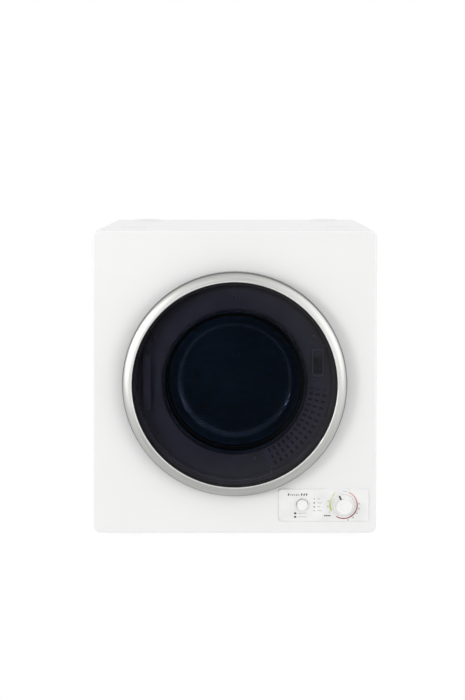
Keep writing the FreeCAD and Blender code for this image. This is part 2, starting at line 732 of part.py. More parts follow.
def drive_belt():
    return belt_loop(BELT_GAP + BELT_T).cut(belt_loop(BELT_GAP))


def idler_centre():
    """Centre of the idler wheel, pressed against the belt's right-hand run."""
    points, low, high = tangent_points(0)
    middle = (points[2] + points[3]) * 0.5
    out = IDLER_R + 2 * BELT_GAP + BELT_T
    return middle.x + out * math.cos(high), middle.z + out * math.sin(high)


def idler_arm():
    """Bent bar that swings the idler against the belt, with the wheel's pin."""
    px, pz = ARM_PIVOT
    wx, wz = idler_centre()
    length = math.hypot(wx - px, wz - pz)
    bar = box(0, length, 328, 332, -6, 6)
    ends = [rod(0, 0, 328, 332, 9), rod(length, 0, 328, 332, 8)]
    pin = rod(length, 0, BELT_FRONT - 4, 332, 3)
    arm = join([bar] + ends + [pin]).cut(rod(0, 0, 320, 340, 5 + RUN_CLEAR))
    arm.rotate(V(0, 0, 0), Y_AXIS, -math.degrees(math.atan2(wz - pz, wx - px)))
    arm.translate(V(px, 0, pz))
    return arm


def idler_wheel():
    x, z = idler_centre()
    profile = [(3 + RUN_CLEAR, BELT_FRONT - 2), (IDLER_R, BELT_FRONT - 2), (IDLER_R, BELT_BACK + 2),
               (3 + RUN_CLEAR, BELT_BACK + 2)]
    return turned(profile, x, z)


def tensioner_spring():
    """Coils of the torsion spring on the arm's pivot."""
    x, z = ARM_PIVOT
    coils = []
    for step in range(3):
        coil = Part.makeTorus(7.5, 0.9, V(x, depth(333.2 + step * 1.9), z), Y_AXIS)
        coils.append(coil)
    return group(coils)


# ---------------------------------------------------------------- air path
def front_duct():
    """Duct from the filter, down past the drum's front, back to the blower's inlet."""
    face = BEZEL_FACE + BEZEL_T + 1.2
    mouth = sector(152, 200, face, 27, -69, -2).common(box(0, 200, 0, 60, 118, AXIS_Z))
    chute = box(140, 262, face, 27, 112, 172)
    neck = rod(232, 134, 20, 66, 19)
    drop = box(204, 262, 62, BLOWER_FRONT - 0.3, 58, 154)
    outer = join([mouth, chute, neck, drop])
    inside_mouth = sector(154, 198, face - 1, 25.5, -67.5, -3.5)
    inside_chute = box(141.5, 260.5, face + SHEET, 25.5, 113.5, 170.5)
    inside_neck = rod(232, 134, 24, 66, 17.5)
    inside_drop = box(205.5, 260.5, 63.5, BLOWER_FRONT - 2, 59.5, 152.5)
    port = rod(MOTOR_X + 6, MOTOR_Z + 8, BLOWER_FRONT - 5, BLOWER_FRONT + 1, 16)
    return cut_all(outer, [inside_mouth, inside_chute, inside_neck, inside_drop, port])


def blower_housing():
    """Round fan case with a side outlet low on the left."""
    case = rod(MOTOR_X, MOTOR_Z, BLOWER_FRONT, BLOWER_BACK, BLOWER_R)
    outlet = box(162, MOTOR_X, BLOWER_FRONT, BLOWER_BACK, 25, 60)
    hollow = rod(MOTOR_X, MOTOR_Z, BLOWER_FRONT + 2, BLOWER_BACK - 2, BLOWER_R - 2)
    throat = box(161, MOTOR_X, BLOWER_FRONT + 2, BLOWER_BACK - 2, 27, 58)
    inlet = rod(MOTOR_X, MOTOR_Z, BLOWER_FRONT - 1, BLOWER_FRONT + 3, 30)
    shaft = rod(MOTOR_X, MOTOR_Z, BLOWER_BACK - 3, BLOWER_BACK + 1, ROTOR_R + 1)
    return cut_all(join([case, outlet]), [hollow, throat, inlet, shaft])


def exhaust_duct():
    """Flat duct under the drum that rises to a box behind the collar."""
    flat = box(64, 161.7, BLOWER_FRONT, 486, 20, 61)
    riser = box(62, 166, 436, 486, 20, 129)
    inner_flat = box(65.5, 170, BLOWER_FRONT + 1.5, 484.5, 21.5, 59.5)
    keep = box(161, 172, BLOWER_BACK, 436, 15, 65)
    inner_riser = box(63.5, 164.5, 437.5, 484.5, 21.5, 127.5)
    port = rod(COLLAR_X, COLLAR_Z, 480, 490, COLLAR_R - 2 * SHEET)
    wall = box(160.2, 161.7, BLOWER_BACK, 436, 20, 61)
    duct = cut_all(join([flat, riser]), [inner_flat.cut(keep), inner_riser, port])
    return join([duct, wall])


def exhaust_collar():
    """Flanged outlet that a 100 mm hose or duct slides over."""
    tube_part = tube(COLLAR_X, COLLAR_Z, 486.3, COLLAR_END, COLLAR_R - SHEET, COLLAR_R - 2 * SHEET)
    sleeve = tube(COLLAR_X, COLLAR_Z, CABINET_DEPTH, COLLAR_END, COLLAR_R, COLLAR_R - 2 * SHEET)
    flange = tube(COLLAR_X, COLLAR_Z, CABINET_DEPTH, CABINET_DEPTH + SHEET, COLLAR_R + 9, COLLAR_R - SHEET)
    return join([tube_part, sleeve, flange])


# ---------------------------------------------------------------- controls
def control_fascia():
    """Raised rounded panel low on the right, with a dial hole and a button hole."""
    x0, x1, z0, z1 = FASCIA
    front = rounded(x0, x1, z0, z1, FASCIA_FRONT, 0, FASCIA_CORNER)
    front = front.makeFillet(1.0, [e for e in front.Edges if e.BoundBox.YMax < depth(FASCIA_FRONT) + 0.01])
    boss = rounded(x0 + 9, x1 - 9, z0 + 9, z1 - 9, 0, 3.5, 3)
    rim = tube(BUTTON_X, BUTTON_Z, FASCIA_FRONT - 1, 0, BUTTON_R + 2.2, BUTTON_R + 0.5)
    dial = rod(DIAL_X, DIAL_Z, FASCIA_FRONT - 2, 6, 6)
    button = rod(BUTTON_X, BUTTON_Z, FASCIA_FRONT - 4, 6, BUTTON_R + 0.5)
    return cut_all(join([front, boss, rim]), [dial, button])


def timer_body():
    """Clockwork timer behind the dial, bored for the knob's spindle."""
    case = rounded(DIAL_X - 26, DIAL_X + 26, DIAL_Z - 24, DIAL_Z + 24, 8, 44, 4)
    plate = box(DIAL_X - 32, DIAL_X + 32, 6, 8, DIAL_Z - 12, DIAL_Z + 12)
    nose = rod(DIAL_X, DIAL_Z, 3.6, 8, 9)
    return join([case, plate, nose]).cut(rod(DIAL_X, DIAL_Z, 3, 24.5, 3 + RUN_CLEAR))


def selector_switch():
    """Push switch behind the heat selector button."""
    case = rounded(BUTTON_X - 15, BUTTON_X + 15, BUTTON_Z - 12, BUTTON_Z + 12, 14, 40, 3)
    ears = box(BUTTON_X - 21, BUTTON_X + 21, 14, 16, BUTTON_Z - 6, BUTTON_Z + 6)
    return join([case, ears]).cut(rod(BUTTON_X, BUTTON_Z, 10, 24, 4.5))


def timer_knob():
    """Dial skirt with a round grip and a raised pointer rib."""
    skirt = rod(DIAL_X, DIAL_Z, GRIP_BASE, -3.6, KNOB_R)
    skirt = skirt.makeFillet(1.2, [e for e in skirt.Edges if e.BoundBox.YMax < depth(GRIP_BASE + 0.1)])
    grip = Part.makeCone(GRIP_FRONT_R, GRIP_BASE_R, GRIP_BASE - GRIP_FRONT,
                         V(DIAL_X, depth(GRIP_FRONT), DIAL_Z), Y_AXIS)
    grip = grip.makeFillet(1.5, [e for e in grip.Edges if e.BoundBox.YMax < depth(GRIP_FRONT + 0.1)])
    spindle = rod(DIAL_X, DIAL_Z, GRIP_BASE - 1, 23, 3)
    rib = box(DIAL_X - 1.1, DIAL_X + 1.1, GRIP_BASE - 0.8, GRIP_BASE + 1, DIAL_Z + 10, DIAL_Z + KNOB_R - 1)
    rib.rotate(V(DIAL_X, 0, DIAL_Z), Y_AXIS, -POINTER_TURN)
    return join([skirt, grip, spindle, rib])


def selector_button():
    """Round push button with its stem."""
    cap = rod(BUTTON_X, BUTTON_Z, -9, -1, BUTTON_R)
    cap = cap.makeFillet(1.2, [e for e in cap.Edges if e.BoundBox.YMax < depth(-8.9)])
    stem = rod(BUTTON_X, BUTTON_Z, -2, 17, 4)
    return join([cap, stem])


SINGLE_PARTS = {
    "front_panel": front_panel,
    "top_cover": top_cover,
    "rear_panel": rear_panel,
    "base_pan": base_pan,
    "levelling_feet": levelling_feet,
    "cross_braces": cross_braces,
    "front_bezel": front_bezel,
    "drum_mouth_felt": drum_mouth_felt,
    "filter_cover": filter_cover,
    "filter_screen": filter_screen,
    "latch_housing": latch_housing,
    "latch_catch": latch_catch,
    "door_switch": door_switch,
    "hinge_bracket": hinge_bracket,
    "bezel_screws": front_screws,
    "door_ring": door_ring,
    "door_window": door_window,
    "door_bowl": door_bowl,
    "door_inner_frame": door_inner_frame,
    "door_seal": door_seal,
    "door_hinge_strap": hinge_strap,
    "door_hinge_block": hinge_block,
    "door_hinge_pin": hinge_pin,
    "latch_hook": latch_hook,
    "door_screws": door_screws,
    "drum_shell": drum_shell,
    "drum_front": drum_front,
    "drum_rear": drum_rear,
    "drum_shaft": drum_shaft,
    "rear_bulkhead": rear_bulkhead,
    "heater_housing": heater_housing,
    "heater_coils": heater_coils,
    "thermostats": thermostats,
    "bearing_housing": bearing_housing,
    "rear_bearing": rear_bearing,
    "service_cover": service_cover,
    "cord_inlet": cord_inlet,
    "rear_screws": rear_screws,
    "motor_body": motor_body,
    "motor_bracket": motor_bracket,
    "run_capacitor": run_capacitor,
    "rotor_shaft": rotor_shaft,
    "motor_pulley": motor_pulley,
    "blower_wheel": blower_wheel,
    "drive_belt": drive_belt,
    "idler_arm": idler_arm,
    "idler_wheel": idler_wheel,
    "tensioner_spring": tensioner_spring,
    "front_duct": front_duct,
    "blower_housing": blower_housing,
    "exhaust_duct": exhaust_duct,
    "exhaust_collar": exhaust_collar,
    "control_fascia": control_fascia,
    "timer_body": timer_body,
    "selector_switch": selector_switch,
    "timer_knob": timer_knob,
    "selector_button": selector_button,
}


def main():
    os.makedirs("parts", exist_ok=True)
    for node, make in SINGLE_PARTS.items():
        save(node, make())
    save("side_panel_left", side_panel(-1))
    save("side_panel_right", side_panel(1))
    lifters = [drum_lifter(angle) for angle in (90, 210, 330)]
    save("drum_lifters", group(lifters))


main()
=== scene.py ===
import json
import math

import bmesh
import bpy
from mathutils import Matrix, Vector


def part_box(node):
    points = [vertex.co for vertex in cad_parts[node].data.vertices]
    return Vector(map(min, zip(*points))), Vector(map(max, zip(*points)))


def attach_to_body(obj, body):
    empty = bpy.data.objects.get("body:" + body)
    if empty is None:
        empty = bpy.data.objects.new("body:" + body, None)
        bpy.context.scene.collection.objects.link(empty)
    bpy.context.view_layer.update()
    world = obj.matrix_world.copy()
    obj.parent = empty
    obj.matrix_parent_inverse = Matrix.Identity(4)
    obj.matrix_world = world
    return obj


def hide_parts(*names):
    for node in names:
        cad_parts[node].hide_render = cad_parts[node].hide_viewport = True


# A compact vented clothes dryer. Metres throughout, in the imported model's own frame:
# +Z up, the door faces -Y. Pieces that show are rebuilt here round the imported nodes,
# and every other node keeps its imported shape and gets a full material.

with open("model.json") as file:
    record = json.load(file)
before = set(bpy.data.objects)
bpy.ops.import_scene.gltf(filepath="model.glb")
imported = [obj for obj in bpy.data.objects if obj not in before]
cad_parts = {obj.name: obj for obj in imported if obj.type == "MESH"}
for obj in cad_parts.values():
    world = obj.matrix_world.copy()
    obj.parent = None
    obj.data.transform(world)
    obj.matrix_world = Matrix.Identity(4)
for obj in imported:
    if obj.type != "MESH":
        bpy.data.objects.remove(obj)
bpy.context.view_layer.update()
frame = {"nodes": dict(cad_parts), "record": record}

MM = 0.001
PANEL_LOW, PANEL_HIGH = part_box("front_panel")
FRONT_Y = PANEL_LOW[1]
FASCIA_LOW, FASCIA_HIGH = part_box("control_fascia")


def middle_of(low, high, y=0.0):
    """Middle of a box seen from the front, at a chosen Y."""
    return ((low[0] + high[0]) / 2, y, (low[2] + high[2]) / 2)


def half_of(low, high):
    """Half the width and half the height of a box."""
    return (high[0] - low[0]) / 2, (high[2] - low[2]) / 2


AXIS_Z = middle_of(*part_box("door_ring"))[2]
DOOR_CENTRE = (0.0, FRONT_Y, AXIS_Z)
DIAL = middle_of(*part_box("timer_knob"), FRONT_Y)
BUTTON = middle_of(*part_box("selector_button"), FRONT_Y)

# Depths in millimetres behind the front panel's face; what stands proud of it is negative.
FASCIA_FACE = -3.0
PRINT_FACE = -3.15            # printed marks lie just in front of the fascia's face
MOUTH_FACE = 8.0              # the grey ring round the drum's mouth
PRINT_T = 0.12                # thickness of the printed film, in millimetres


# ------------------------------------------------------------------ material tools
def map_range(tree, source, low, high, out_low, out_high):
    """Maps a value from one range to another, within the second range's ends."""
    node = tree.nodes.new("ShaderNodeMapRange")
    for socket, value in (("From Min", low), ("From Max", high), ("To Min", out_low), ("To Max", out_high)):
        node.inputs[socket].default_value = value
    tree.links.new(source, node.inputs["Value"])
    return node.outputs["Result"]


class Recipe:
    """A node material under construction, with short names for the usual steps."""

    def __init__(self, name):
        self.material = bpy.data.materials.new(name)
        self.material.use_nodes = True
        self.tree = self.material.node_tree
        self.shader = self.tree.nodes["Principled BSDF"]
        self.output = self.tree.nodes["Material Output"]
        self.coords = self.add("ShaderNodeTexCoord").outputs["Object"]

    def add(self, kind, **settings):
        """A new node with some of its properties set."""
        node = self.tree.nodes.new(kind)
        for key, value in settings.items():
            setattr(node, key, value)
        return node

    def link(self, source, target):
        self.tree.links.new(source, target)

    def set(self, **values):
        """Constants on the shader's own sockets."""
        for key, value in values.items():
            self.shader.inputs[key.replace("_", " ")].default_value = value

    def scaled(self, x, y, z):
        """The object's own coordinates, stretched along each axis."""
        mapping = self.add("ShaderNodeMapping")
        mapping.inputs["Scale"].default_value = (x, y, z)
        self.link(self.coords, mapping.inputs["Vector"])
        return mapping.outputs["Vector"]

    def noise(self, scale, detail=3.0, vector=None):
        node = self.add("ShaderNodeTexNoise")
        node.inputs["Scale"].default_value = scale
        node.inputs["Detail"].default_value = detail
        self.link(vector or self.coords, node.inputs["Vector"])
        return node.outputs["Fac"]

    def ramp(self, source, stops):
        """Colour that follows a value, from (place, colour) stops."""
        node = self.add("ShaderNodeValToRGB")
        elements = node.color_ramp.elements
        while len(elements) < len(stops):
            elements.new(0.5)
        for element, (place, colour) in zip(elements, stops):
            element.position = place
            element.color = (*colour, 1.0)
        self.link(source, node.inputs["Fac"])
        return node.outputs["Color"]

    def spread(self, source, low, high):
        """Maps a 0.3 to 0.7 noise value to a range."""
        return map_range(self.tree, source, 0.3, 0.7, low, high)

    def math(self, operation, first, second=None):
        """One arithmetic step on sockets or plain numbers."""
        node = self.add("ShaderNodeMath", operation=operation)
        for socket, value in zip(node.inputs, (first, second)):
            if isinstance(value, (int, float)):
                socket.default_value = value
            elif value is not None:
                self.link(value, socket)
        return node.outputs[0]

    def bump(self, height, strength, distance, target=None):
        node = self.add("ShaderNodeBump")
        node.inputs["Strength"].default_value = strength
        node.inputs["Distance"].default_value = distance
        self.link(height, node.inputs["Height"])
        self.link(node.outputs["Normal"], target or self.shader.inputs["Normal"])

    def split_coords(self):
        """The object's own X, Y and Z as three values."""
        split = self.add("ShaderNodeSeparateXYZ")
        self.link(self.coords, split.inputs["Vector"])
        return split.outputs["X"], split.outputs["Y"], split.outputs["Z"]

    def radius(self):
        """Distance from the object's own front-to-back axis."""
        x, _, z = self.split_coords()
        squares = self.math("ADD", self.math("MULTIPLY", x, x), self.math("MULTIPLY", z, z))
        return self.math("SQRT", squares)

    def angle(self):
        """Turn about the object's own front-to-back axis."""
        x, _, z = self.split_coords()
        return self.math("ARCTAN2", z, x)


def shade(colour, factor):
    """A colour made darker or lighter."""
    return tuple(min(1.0, c * factor) for c in colour)


def enamel(name, colour, rough=0.34):
    """Baked paint: faint orange peel, a very slight tone drift, uneven gloss."""
    r = Recipe(name)
    drift = r.noise(5.0, 2.0)
    r.link(r.ramp(drift, [(0.25, shade(colour, 0.985)), (0.75, shade(colour, 1.01))]),
           r.shader.inputs["Base Color"])
    r.link(r.spread(r.noise(38.0), rough - 0.04, rough + 0.05), r.shader.inputs["Roughness"])
    r.bump(r.noise(620.0, 2.0), 0.05, 0.0004)
    r.set(Coat_Weight=0.25, Coat_Roughness=0.12)
    return r.material


def plastic(name, colour, rough=0.45, grain=1500.0, strength=0.12):
    """Moulded plastic with a fine sprayed grain."""
    r = Recipe(name)
    r.link(r.ramp(r.noise(26.0), [(0.3, shade(colour, 0.93)), (0.7, shade(colour, 1.06))]),
           r.shader.inputs["Base Color"])
    r.link(r.spread(r.noise(90.0), rough - 0.06, rough + 0.06), r.shader.inputs["Roughness"])
    r.bump(r.noise(grain, 2.0), strength, 0.0002)
    return r.material


def zinc_sheet(name, colour):
    """Galvanised steel with crystal spangle."""
    r = Recipe(name)
    cells = r.add("ShaderNodeTexVoronoi")
    cells.inputs["Scale"].default_value = 95.0
    r.link(r.coords, cells.inputs["Vector"])
    r.link(r.ramp(cells.outputs["Color"], [(0.0, shade(colour, 0.82)), (1.0, shade(colour, 1.15))]),
           r.shader.inputs["Base Color"])
    r.link(r.spread(r.noise(60.0), 0.34, 0.5), r.shader.inputs["Roughness"])
    r.bump(r.noise(240.0), 0.08, 0.0003)
    r.set(Metallic=1.0)
    return r.material


def brushed(name, colour, rough, stretch=(1.0, 1.0, 60.0), scale=30.0):
    """Metal with fine straight brush lines."""
    r = Recipe(name)
    lines = r.noise(scale, 4.0, r.scaled(*stretch))
    r.link(r.ramp(lines, [(0.3, shade(colour, 0.86)), (0.7, shade(colour, 1.1))]),
           r.shader.inputs["Base Color"])
    r.link(r.spread(lines, rough - 0.05, rough + 0.07), r.shader.inputs["Roughness"])
    r.bump(lines, 0.12, 0.0003)
    r.set(Metallic=1.0)
    return r.material


# Radii in millimetres where the door ring's painted light changes: a painted highlight on the
# inner lip, the plain band, and painted shade on the outer bevel. A ramp runs from 0 to 1, so
# the radius is scaled to fit.
RING_PAINTED_LIGHT = ((215.125, (1.7, 1.7, 1.7)), (215.875, (1.0, 1.0, 1.0)),
              (230.25, (1.0, 1.0, 1.0)), (231.25, (0.36, 0.36, 0.37)))
RADIUS_TO_RAMP = 4.0
RINGS_PER_METRE = 1100.0
BREAKS_PER_RADIAN = 2.5


def spun_metal(name, colour, rough):
    """Satin metal turned on a lathe: hair-fine rings with short breaks, multiplied by a painted highlight on
    the inner lip and painted shade on the outer bevel.
    """
    r = Recipe(name)
    radius = r.radius()
    pack = r.add("ShaderNodeCombineXYZ")
    r.link(r.math("MULTIPLY", radius, RINGS_PER_METRE), pack.inputs["X"])
    r.link(r.math("MULTIPLY", r.angle(), BREAKS_PER_RADIAN), pack.inputs["Y"])
    lines = r.noise(1.0, 3.0, pack.outputs["Vector"])
    grain = r.ramp(lines, [(0.3, shade(colour, 0.82)), (0.7, shade(colour, 1.12))])
    # Painted light by radius: a painted highlight on the inner lip, painted shade on the outer bevel.
    bevel = r.ramp(r.math("MULTIPLY", radius, RADIUS_TO_RAMP),
                   [(place * MM * RADIUS_TO_RAMP, tone) for place, tone in RING_PAINTED_LIGHT])
    both = r.add("ShaderNodeMix", data_type="RGBA", blend_type="MULTIPLY")
    both.inputs["Factor"].default_value = 1.0
    first, second = [socket for socket in both.inputs if socket.type == "RGBA"]
    r.link(grain, first)
    r.link(bevel, second)
    result = [socket for socket in both.outputs if socket.type == "RGBA"][0]
    r.link(result, r.shader.inputs["Base Color"])
    r.link(r.spread(lines, rough - 0.04, rough + 0.05), r.shader.inputs["Roughness"])
    r.bump(lines, 0.1, 0.0002)
    tangent = r.add("ShaderNodeTangent", direction_type="RADIAL", axis="Y")
    r.link(tangent.outputs["Tangent"], r.shader.inputs["Tangent"])
    r.set(Metallic=1.0, Anisotropic=0.45)
    return r.material


def tinted_clear(name, clear, edge, rough, reflect=1.45, reach=0.212):
    """See-through moulding: tinted light passes, the surface reflects by angle."""
    r = Recipe(name)
    r.tree.nodes.remove(r.shader)
    place = r.math("DIVIDE", r.radius(), reach)
    cloud = r.math("MULTIPLY", r.noise(9.0, 2.0), 0.04)
    tint = r.ramp(r.math("ADD", place, cloud), [(0.0, clear), (0.95, clear), (0.99, edge)])
    through = r.add("ShaderNodeBsdfTransparent")
    r.link(tint, through.inputs["Color"])
    gloss = r.add("ShaderNodeBsdfGlossy")
    gloss.inputs["Roughness"].default_value = rough
    r.bump(r.noise(14.0, 1.0), 0.04, 0.002, gloss.inputs["Normal"])
    fresnel = r.add("ShaderNodeFresnel")
    fresnel.inputs["IOR"].default_value = reflect
    mix = r.add("ShaderNodeMixShader")
    r.link(fresnel.outputs["Fac"], mix.inputs["Fac"])
    r.link(through.outputs["BSDF"], mix.inputs[1])
    r.link(gloss.outputs["BSDF"], mix.inputs[2])
    r.link(mix.outputs["Shader"], r.output.inputs["Surface"])
    return r.material


def rubber(name, colour):
    """Dull moulded rubber with a dusty, uneven surface."""
    r = Recipe(name)
    r.link(r.ramp(r.noise(55.0), [(0.3, shade(colour, 0.8)), (0.7, shade(colour, 1.3))]),
           r.shader.inputs["Base Color"])
    r.link(r.spread(r.noise(120.0), 0.55, 0.75), r.shader.inputs["Roughness"])
    r.bump(r.noise(1300.0), 0.2, 0.0003)
    return r.material


def felt(name, colour):
    """Pressed wool: tangled short fibres."""
    r = Recipe(name)
    fibres = r.noise(700.0, 6.0, r.scaled(1.0, 0.35, 1.0))
    r.link(r.ramp(fibres, [(0.3, shade(colour, 0.7)), (0.7, shade(colour, 1.25))]),
           r.shader.inputs["Base Color"])
    r.bump(fibres, 0.7, 0.0012)
    r.set(Roughness=0.95, Sheen_Weight=0.3)
    return r.material


def ink(name, colour):
    """Screen-printed mark: a thin film with pinholes of tone."""
    r = Recipe(name)
    r.link(r.ramp(r.noise(900.0), [(0.3, shade(colour, 0.85)), (0.7, shade(colour, 1.12))]),
           r.shader.inputs["Base Color"])
    r.bump(r.noise(1800.0), 0.08, 0.0001)
    r.set(Roughness=0.5)
    return r.material


def faded_ink(name, low, high, bottom, top):
    """Printed arc whose colour changes with height on the panel."""
    r = Recipe(name)
    height = map_range(r.tree, r.split_coords()[2], bottom, top, 0.0, 1.0)
    uneven = r.math("ADD", height, r.math("MULTIPLY", r.noise(200.0), 0.05))
    r.link(r.ramp(uneven, [(0.0, low), (1.0, high)]), r.shader.inputs["Base Color"])
    r.set(Roughness=0.5)
    return r.material


FINISH = {
    "white_enamel": enamel("white_enamel", (0.845, 0.845, 0.84)),
    "galvanised_steel": zinc_sheet("galvanised_steel", (0.56, 0.57, 0.58)),
    "stainless_drum": brushed("stainless_drum", (0.55, 0.55, 0.55), 0.3),
    "satin_ring": spun_metal("satin_ring", (0.53, 0.53, 0.515), 0.36),
    "smoked_glass": tinted_clear("smoked_glass", (0.72, 0.72, 0.79), (0.55, 0.53, 0.57), 0.02),
    "clear_bowl": tinted_clear("clear_bowl", (0.95, 0.95, 0.96), (0.85, 0.85, 0.86), 0.03),
    "deep_bowl": tinted_clear("deep_bowl", (0.62, 0.84, 0.96), (0.76, 0.8, 0.86), 0.04, 1.38, reach=0.16),
    "dark_plastic": plastic("dark_plastic", (0.05, 0.05, 0.055)),
    "grey_plastic": plastic("grey_plastic", (0.22, 0.22, 0.235), 0.4),
    # Light grey of the painted highlight round the catch plate's edge.
    "edge_highlight_grey": plastic("edge_highlight_grey", (0.5, 0.48, 0.55), 0.35),
    "cover_grey": plastic("cover_grey", (0.27, 0.25, 0.31), 0.35),
    # The inner frame's grey, lightened as painted light against the shade that it sits in.
    "frame_grey_painted_light": plastic("frame_grey_painted_light", (0.33, 0.33, 0.345), 0.4),
    "strap_grey": plastic("strap_grey", (0.11, 0.105, 0.12), 0.4),
    "white_plastic": plastic("white_plastic", (0.83, 0.83, 0.825), 0.38, 1700.0, 0.06),
    "rubber": rubber("rubber", (0.05, 0.05, 0.053)),
    "felt": felt("felt", (0.2, 0.19, 0.18)),
    "motor_iron": enamel("motor_iron", (0.05, 0.055, 0.06), 0.45),
    "cast_aluminium": brushed("cast_aluminium", (0.55, 0.55, 0.56), 0.5, (1.0, 1.0, 1.0), 220.0),
    "bronze": brushed("bronze", (0.5, 0.33, 0.17), 0.4, (1.0, 30.0, 1.0), 40.0),
    "screw_steel": brushed("screw_steel", (0.62, 0.62, 0.63), 0.25, (1.0, 1.0, 1.0), 500.0),
}
INK_BLACK = ink("ink_black", (0.02, 0.02, 0.022))
INK_GREY = ink("ink_grey", (0.42, 0.42, 0.43))
INK_DIM = ink("ink_dim", (0.2, 0.2, 0.22))
INK_BLUE = ink("ink_blue", (0.24, 0.48, 0.56))
INK_GREEN = faded_ink("ink_green", (0.5, 0.55, 0.1), (0.66, 0.72, 0.36), -0.01, 0.026)
INK_RED = faded_ink("ink_red", (0.26, 0.07, 0.06), (0.64, 0.19, 0.11), -0.02, 0.022)


# ------------------------------------------------------------------ geometry tools
SMOOTH_LIMIT = math.radians(32)
AXIS_R = 0.001      # millimetres: a profile's points on the axis turn in this tiny circle


def depth(distance_mm):
    """Y of a point that lies this many millimetres behind the front panel's face."""
    return FRONT_Y + distance_mm * MM


def from_bmesh(name, shape, place=(0.0, 0.0, 0.0), material=None):
    """Turns a bmesh into a smooth-shaded object whose creases stay crisp."""
    bmesh.ops.remove_doubles(shape, verts=shape.verts, dist=1e-7)
    bmesh.ops.recalc_face_normals(shape, faces=shape.faces)
    mesh = bpy.data.meshes.new(name)
    shape.to_mesh(mesh)
    shape.free()
    mesh.shade_smooth()
    mesh.set_sharp_from_angle(angle=SMOOTH_LIMIT)
    piece = bpy.data.objects.new(name, mesh)
    piece.location = place
    bpy.context.collection.objects.link(piece)
    if material:
        mesh.materials.append(material)
    return piece


def attach(piece, body, slot, *replaced):
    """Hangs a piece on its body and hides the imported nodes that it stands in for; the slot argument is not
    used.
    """
    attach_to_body(piece, body)
    if replaced:
        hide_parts(*replaced)
    return piece


def stitch(shape, rings, close=False):
    """Faces between each ring of vertices and the next."""
    loops = [[shape.verts.new(point) for point in ring] for ring in rings]
    pairs = list(zip(loops, loops[1:]))
    if close:
        pairs.append((loops[-1], loops[0]))
    for first, second in pairs:
        count = len(first)
        for i in range(count):
            j = (i + 1) % count
            shape.faces.new((first[i], first[j], second[j], second[i]))
    return loops


def lathe(name, profile, centre, material, steps=192, ripple=None):
    """Turns a closed profile of (radius, depth) millimetre pairs about a front-to-back axis."""
    shape = bmesh.new()
    rings = []
    for radius, d in profile:
        ring = []
        for i in range(steps):
            turn = 2 * math.pi * i / steps
            reach = max(radius, AXIS_R) * MM
            if ripple:
                reach += ripple(radius, d, turn) * MM
            ring.append((reach * math.cos(turn), d * MM, reach * math.sin(turn)))
        rings.append(ring)
    stitch(shape, rings, close=True)
    return from_bmesh(name, shape, centre, material)


def arc(centre, radius, start, end, steps=6):
    """(r, d) points of an arc, in degrees, 0 towards larger r and 90 towards larger d."""
    points = []
    for i in range(steps + 1):
        turn = math.radians(start + (end - start) * i / steps)
        points.append((centre[0] + radius * math.cos(turn), centre[1] + radius * math.sin(turn)))
    return points


def outline(half_u, half_v, radius, inset=0.0, corner_steps=10, side_steps=1):
    """Rounded rectangle round the origin, anticlockwise, as (u, v) points."""
    radius = max(radius - inset, 0.0002)
    u, v = half_u - inset - radius, half_v - inset - radius
    points = []
    for quarter, (cu, cv) in enumerate(((u, v), (-u, v), (-u, -v), (u, -v))):
        for i in range(corner_steps + 1):
            turn = math.pi / 2 * (quarter + i / corner_steps)
            points.append((cu + radius * math.cos(turn), cv + radius * math.sin(turn)))
    full = []
    for i, point in enumerate(points):
        full.append(point)
        if (i + 1) % (corner_steps + 1) == 0:
            follow = points[(i + 1) % len(points)]
            for k in range(1, side_steps):
                part = k / side_steps
                full.append((point[0] + (follow[0] - point[0]) * part,
                             point[1] + (follow[1] - point[1]) * part))
    return full


def roll(radius, steps=6):
    """(inset, fall) pairs of a rolled edge, from the side round to the face."""
    pairs = []
    for i in range(steps + 1):
        turn = math.pi / 2 * i / steps
        pairs.append((radius * (1 - math.cos(turn)), radius * (1 - math.sin(turn))))
    return pairs


def plate(name, low, high, corner, edge, material, corner_steps=8):
    """Rounded slab that faces -Y, with a rolled front edge, between two box corners."""
    half_u, half_v = half_of(low, high)
    levels = [(0.0, high[1])] + [(inset, low[1] + fall) for inset, fall in roll(edge)]
    levels.append((edge + 0.0004, low[1]))
    shape = bmesh.new()
    rings = []
    for inset, y in levels:
        ring = outline(half_u, half_v, corner, inset, corner_steps)
        rings.append([(u, y, v) for u, v in ring])
    loops = stitch(shape, rings)
    shape.faces.new(loops[0])
    shape.faces.new(loops[-1])
    return from_bmesh(name, shape, middle_of(low, high), material)


def hoop(name, low, high, corner, section, material):
    """Hoop round a box's front, from a closed section of (inset, depth in millimetres) points."""
    half_u, half_v = half_of(low, high)
    shape = bmesh.new()
    rings = []
    for inset, d in section:
        rings.append([(u, depth(d), v) for u, v in outline(half_u, half_v, corner, inset, 8)])
    stitch(shape, rings, close=True)
    return from_bmesh(name, shape, middle_of(low, high), material)


def carve(piece, cutters):
    """Cuts closed shapes out of a piece and applies the result."""
    bpy.context.view_layer.objects.active = piece
    for cutter in cutters:
        step = piece.modifiers.new("cut", "BOOLEAN")
        step.operation = "DIFFERENCE"
        step.solver = "EXACT"
        step.object = cutter
        bpy.ops.object.modifier_apply(modifier=step.name)
        bpy.data.objects.remove(cutter)
    piece.data.shade_smooth()
    piece.data.set_sharp_from_angle(angle=SMOOTH_LIMIT)
    return piece


def block(name, low, high):
    """Plain box, used as a cutter."""
    shape = bmesh.new()
    bmesh.ops.create_cube(shape, size=1.0)
    for vert in shape.verts:
        vert.co = Vector([low[i] + (vert.co[i] + 0.5) * (high[i] - low[i]) for i in range(3)])
    return from_bmesh(name, shape)


def plug(name, centre, radius_mm, d0, d1):
    """Round cutter that runs front to back."""
    profile = [(0, d0), (radius_mm, d0), (radius_mm, d1), (0, d1)]
    return lathe(name, profile, centre, None, 96)


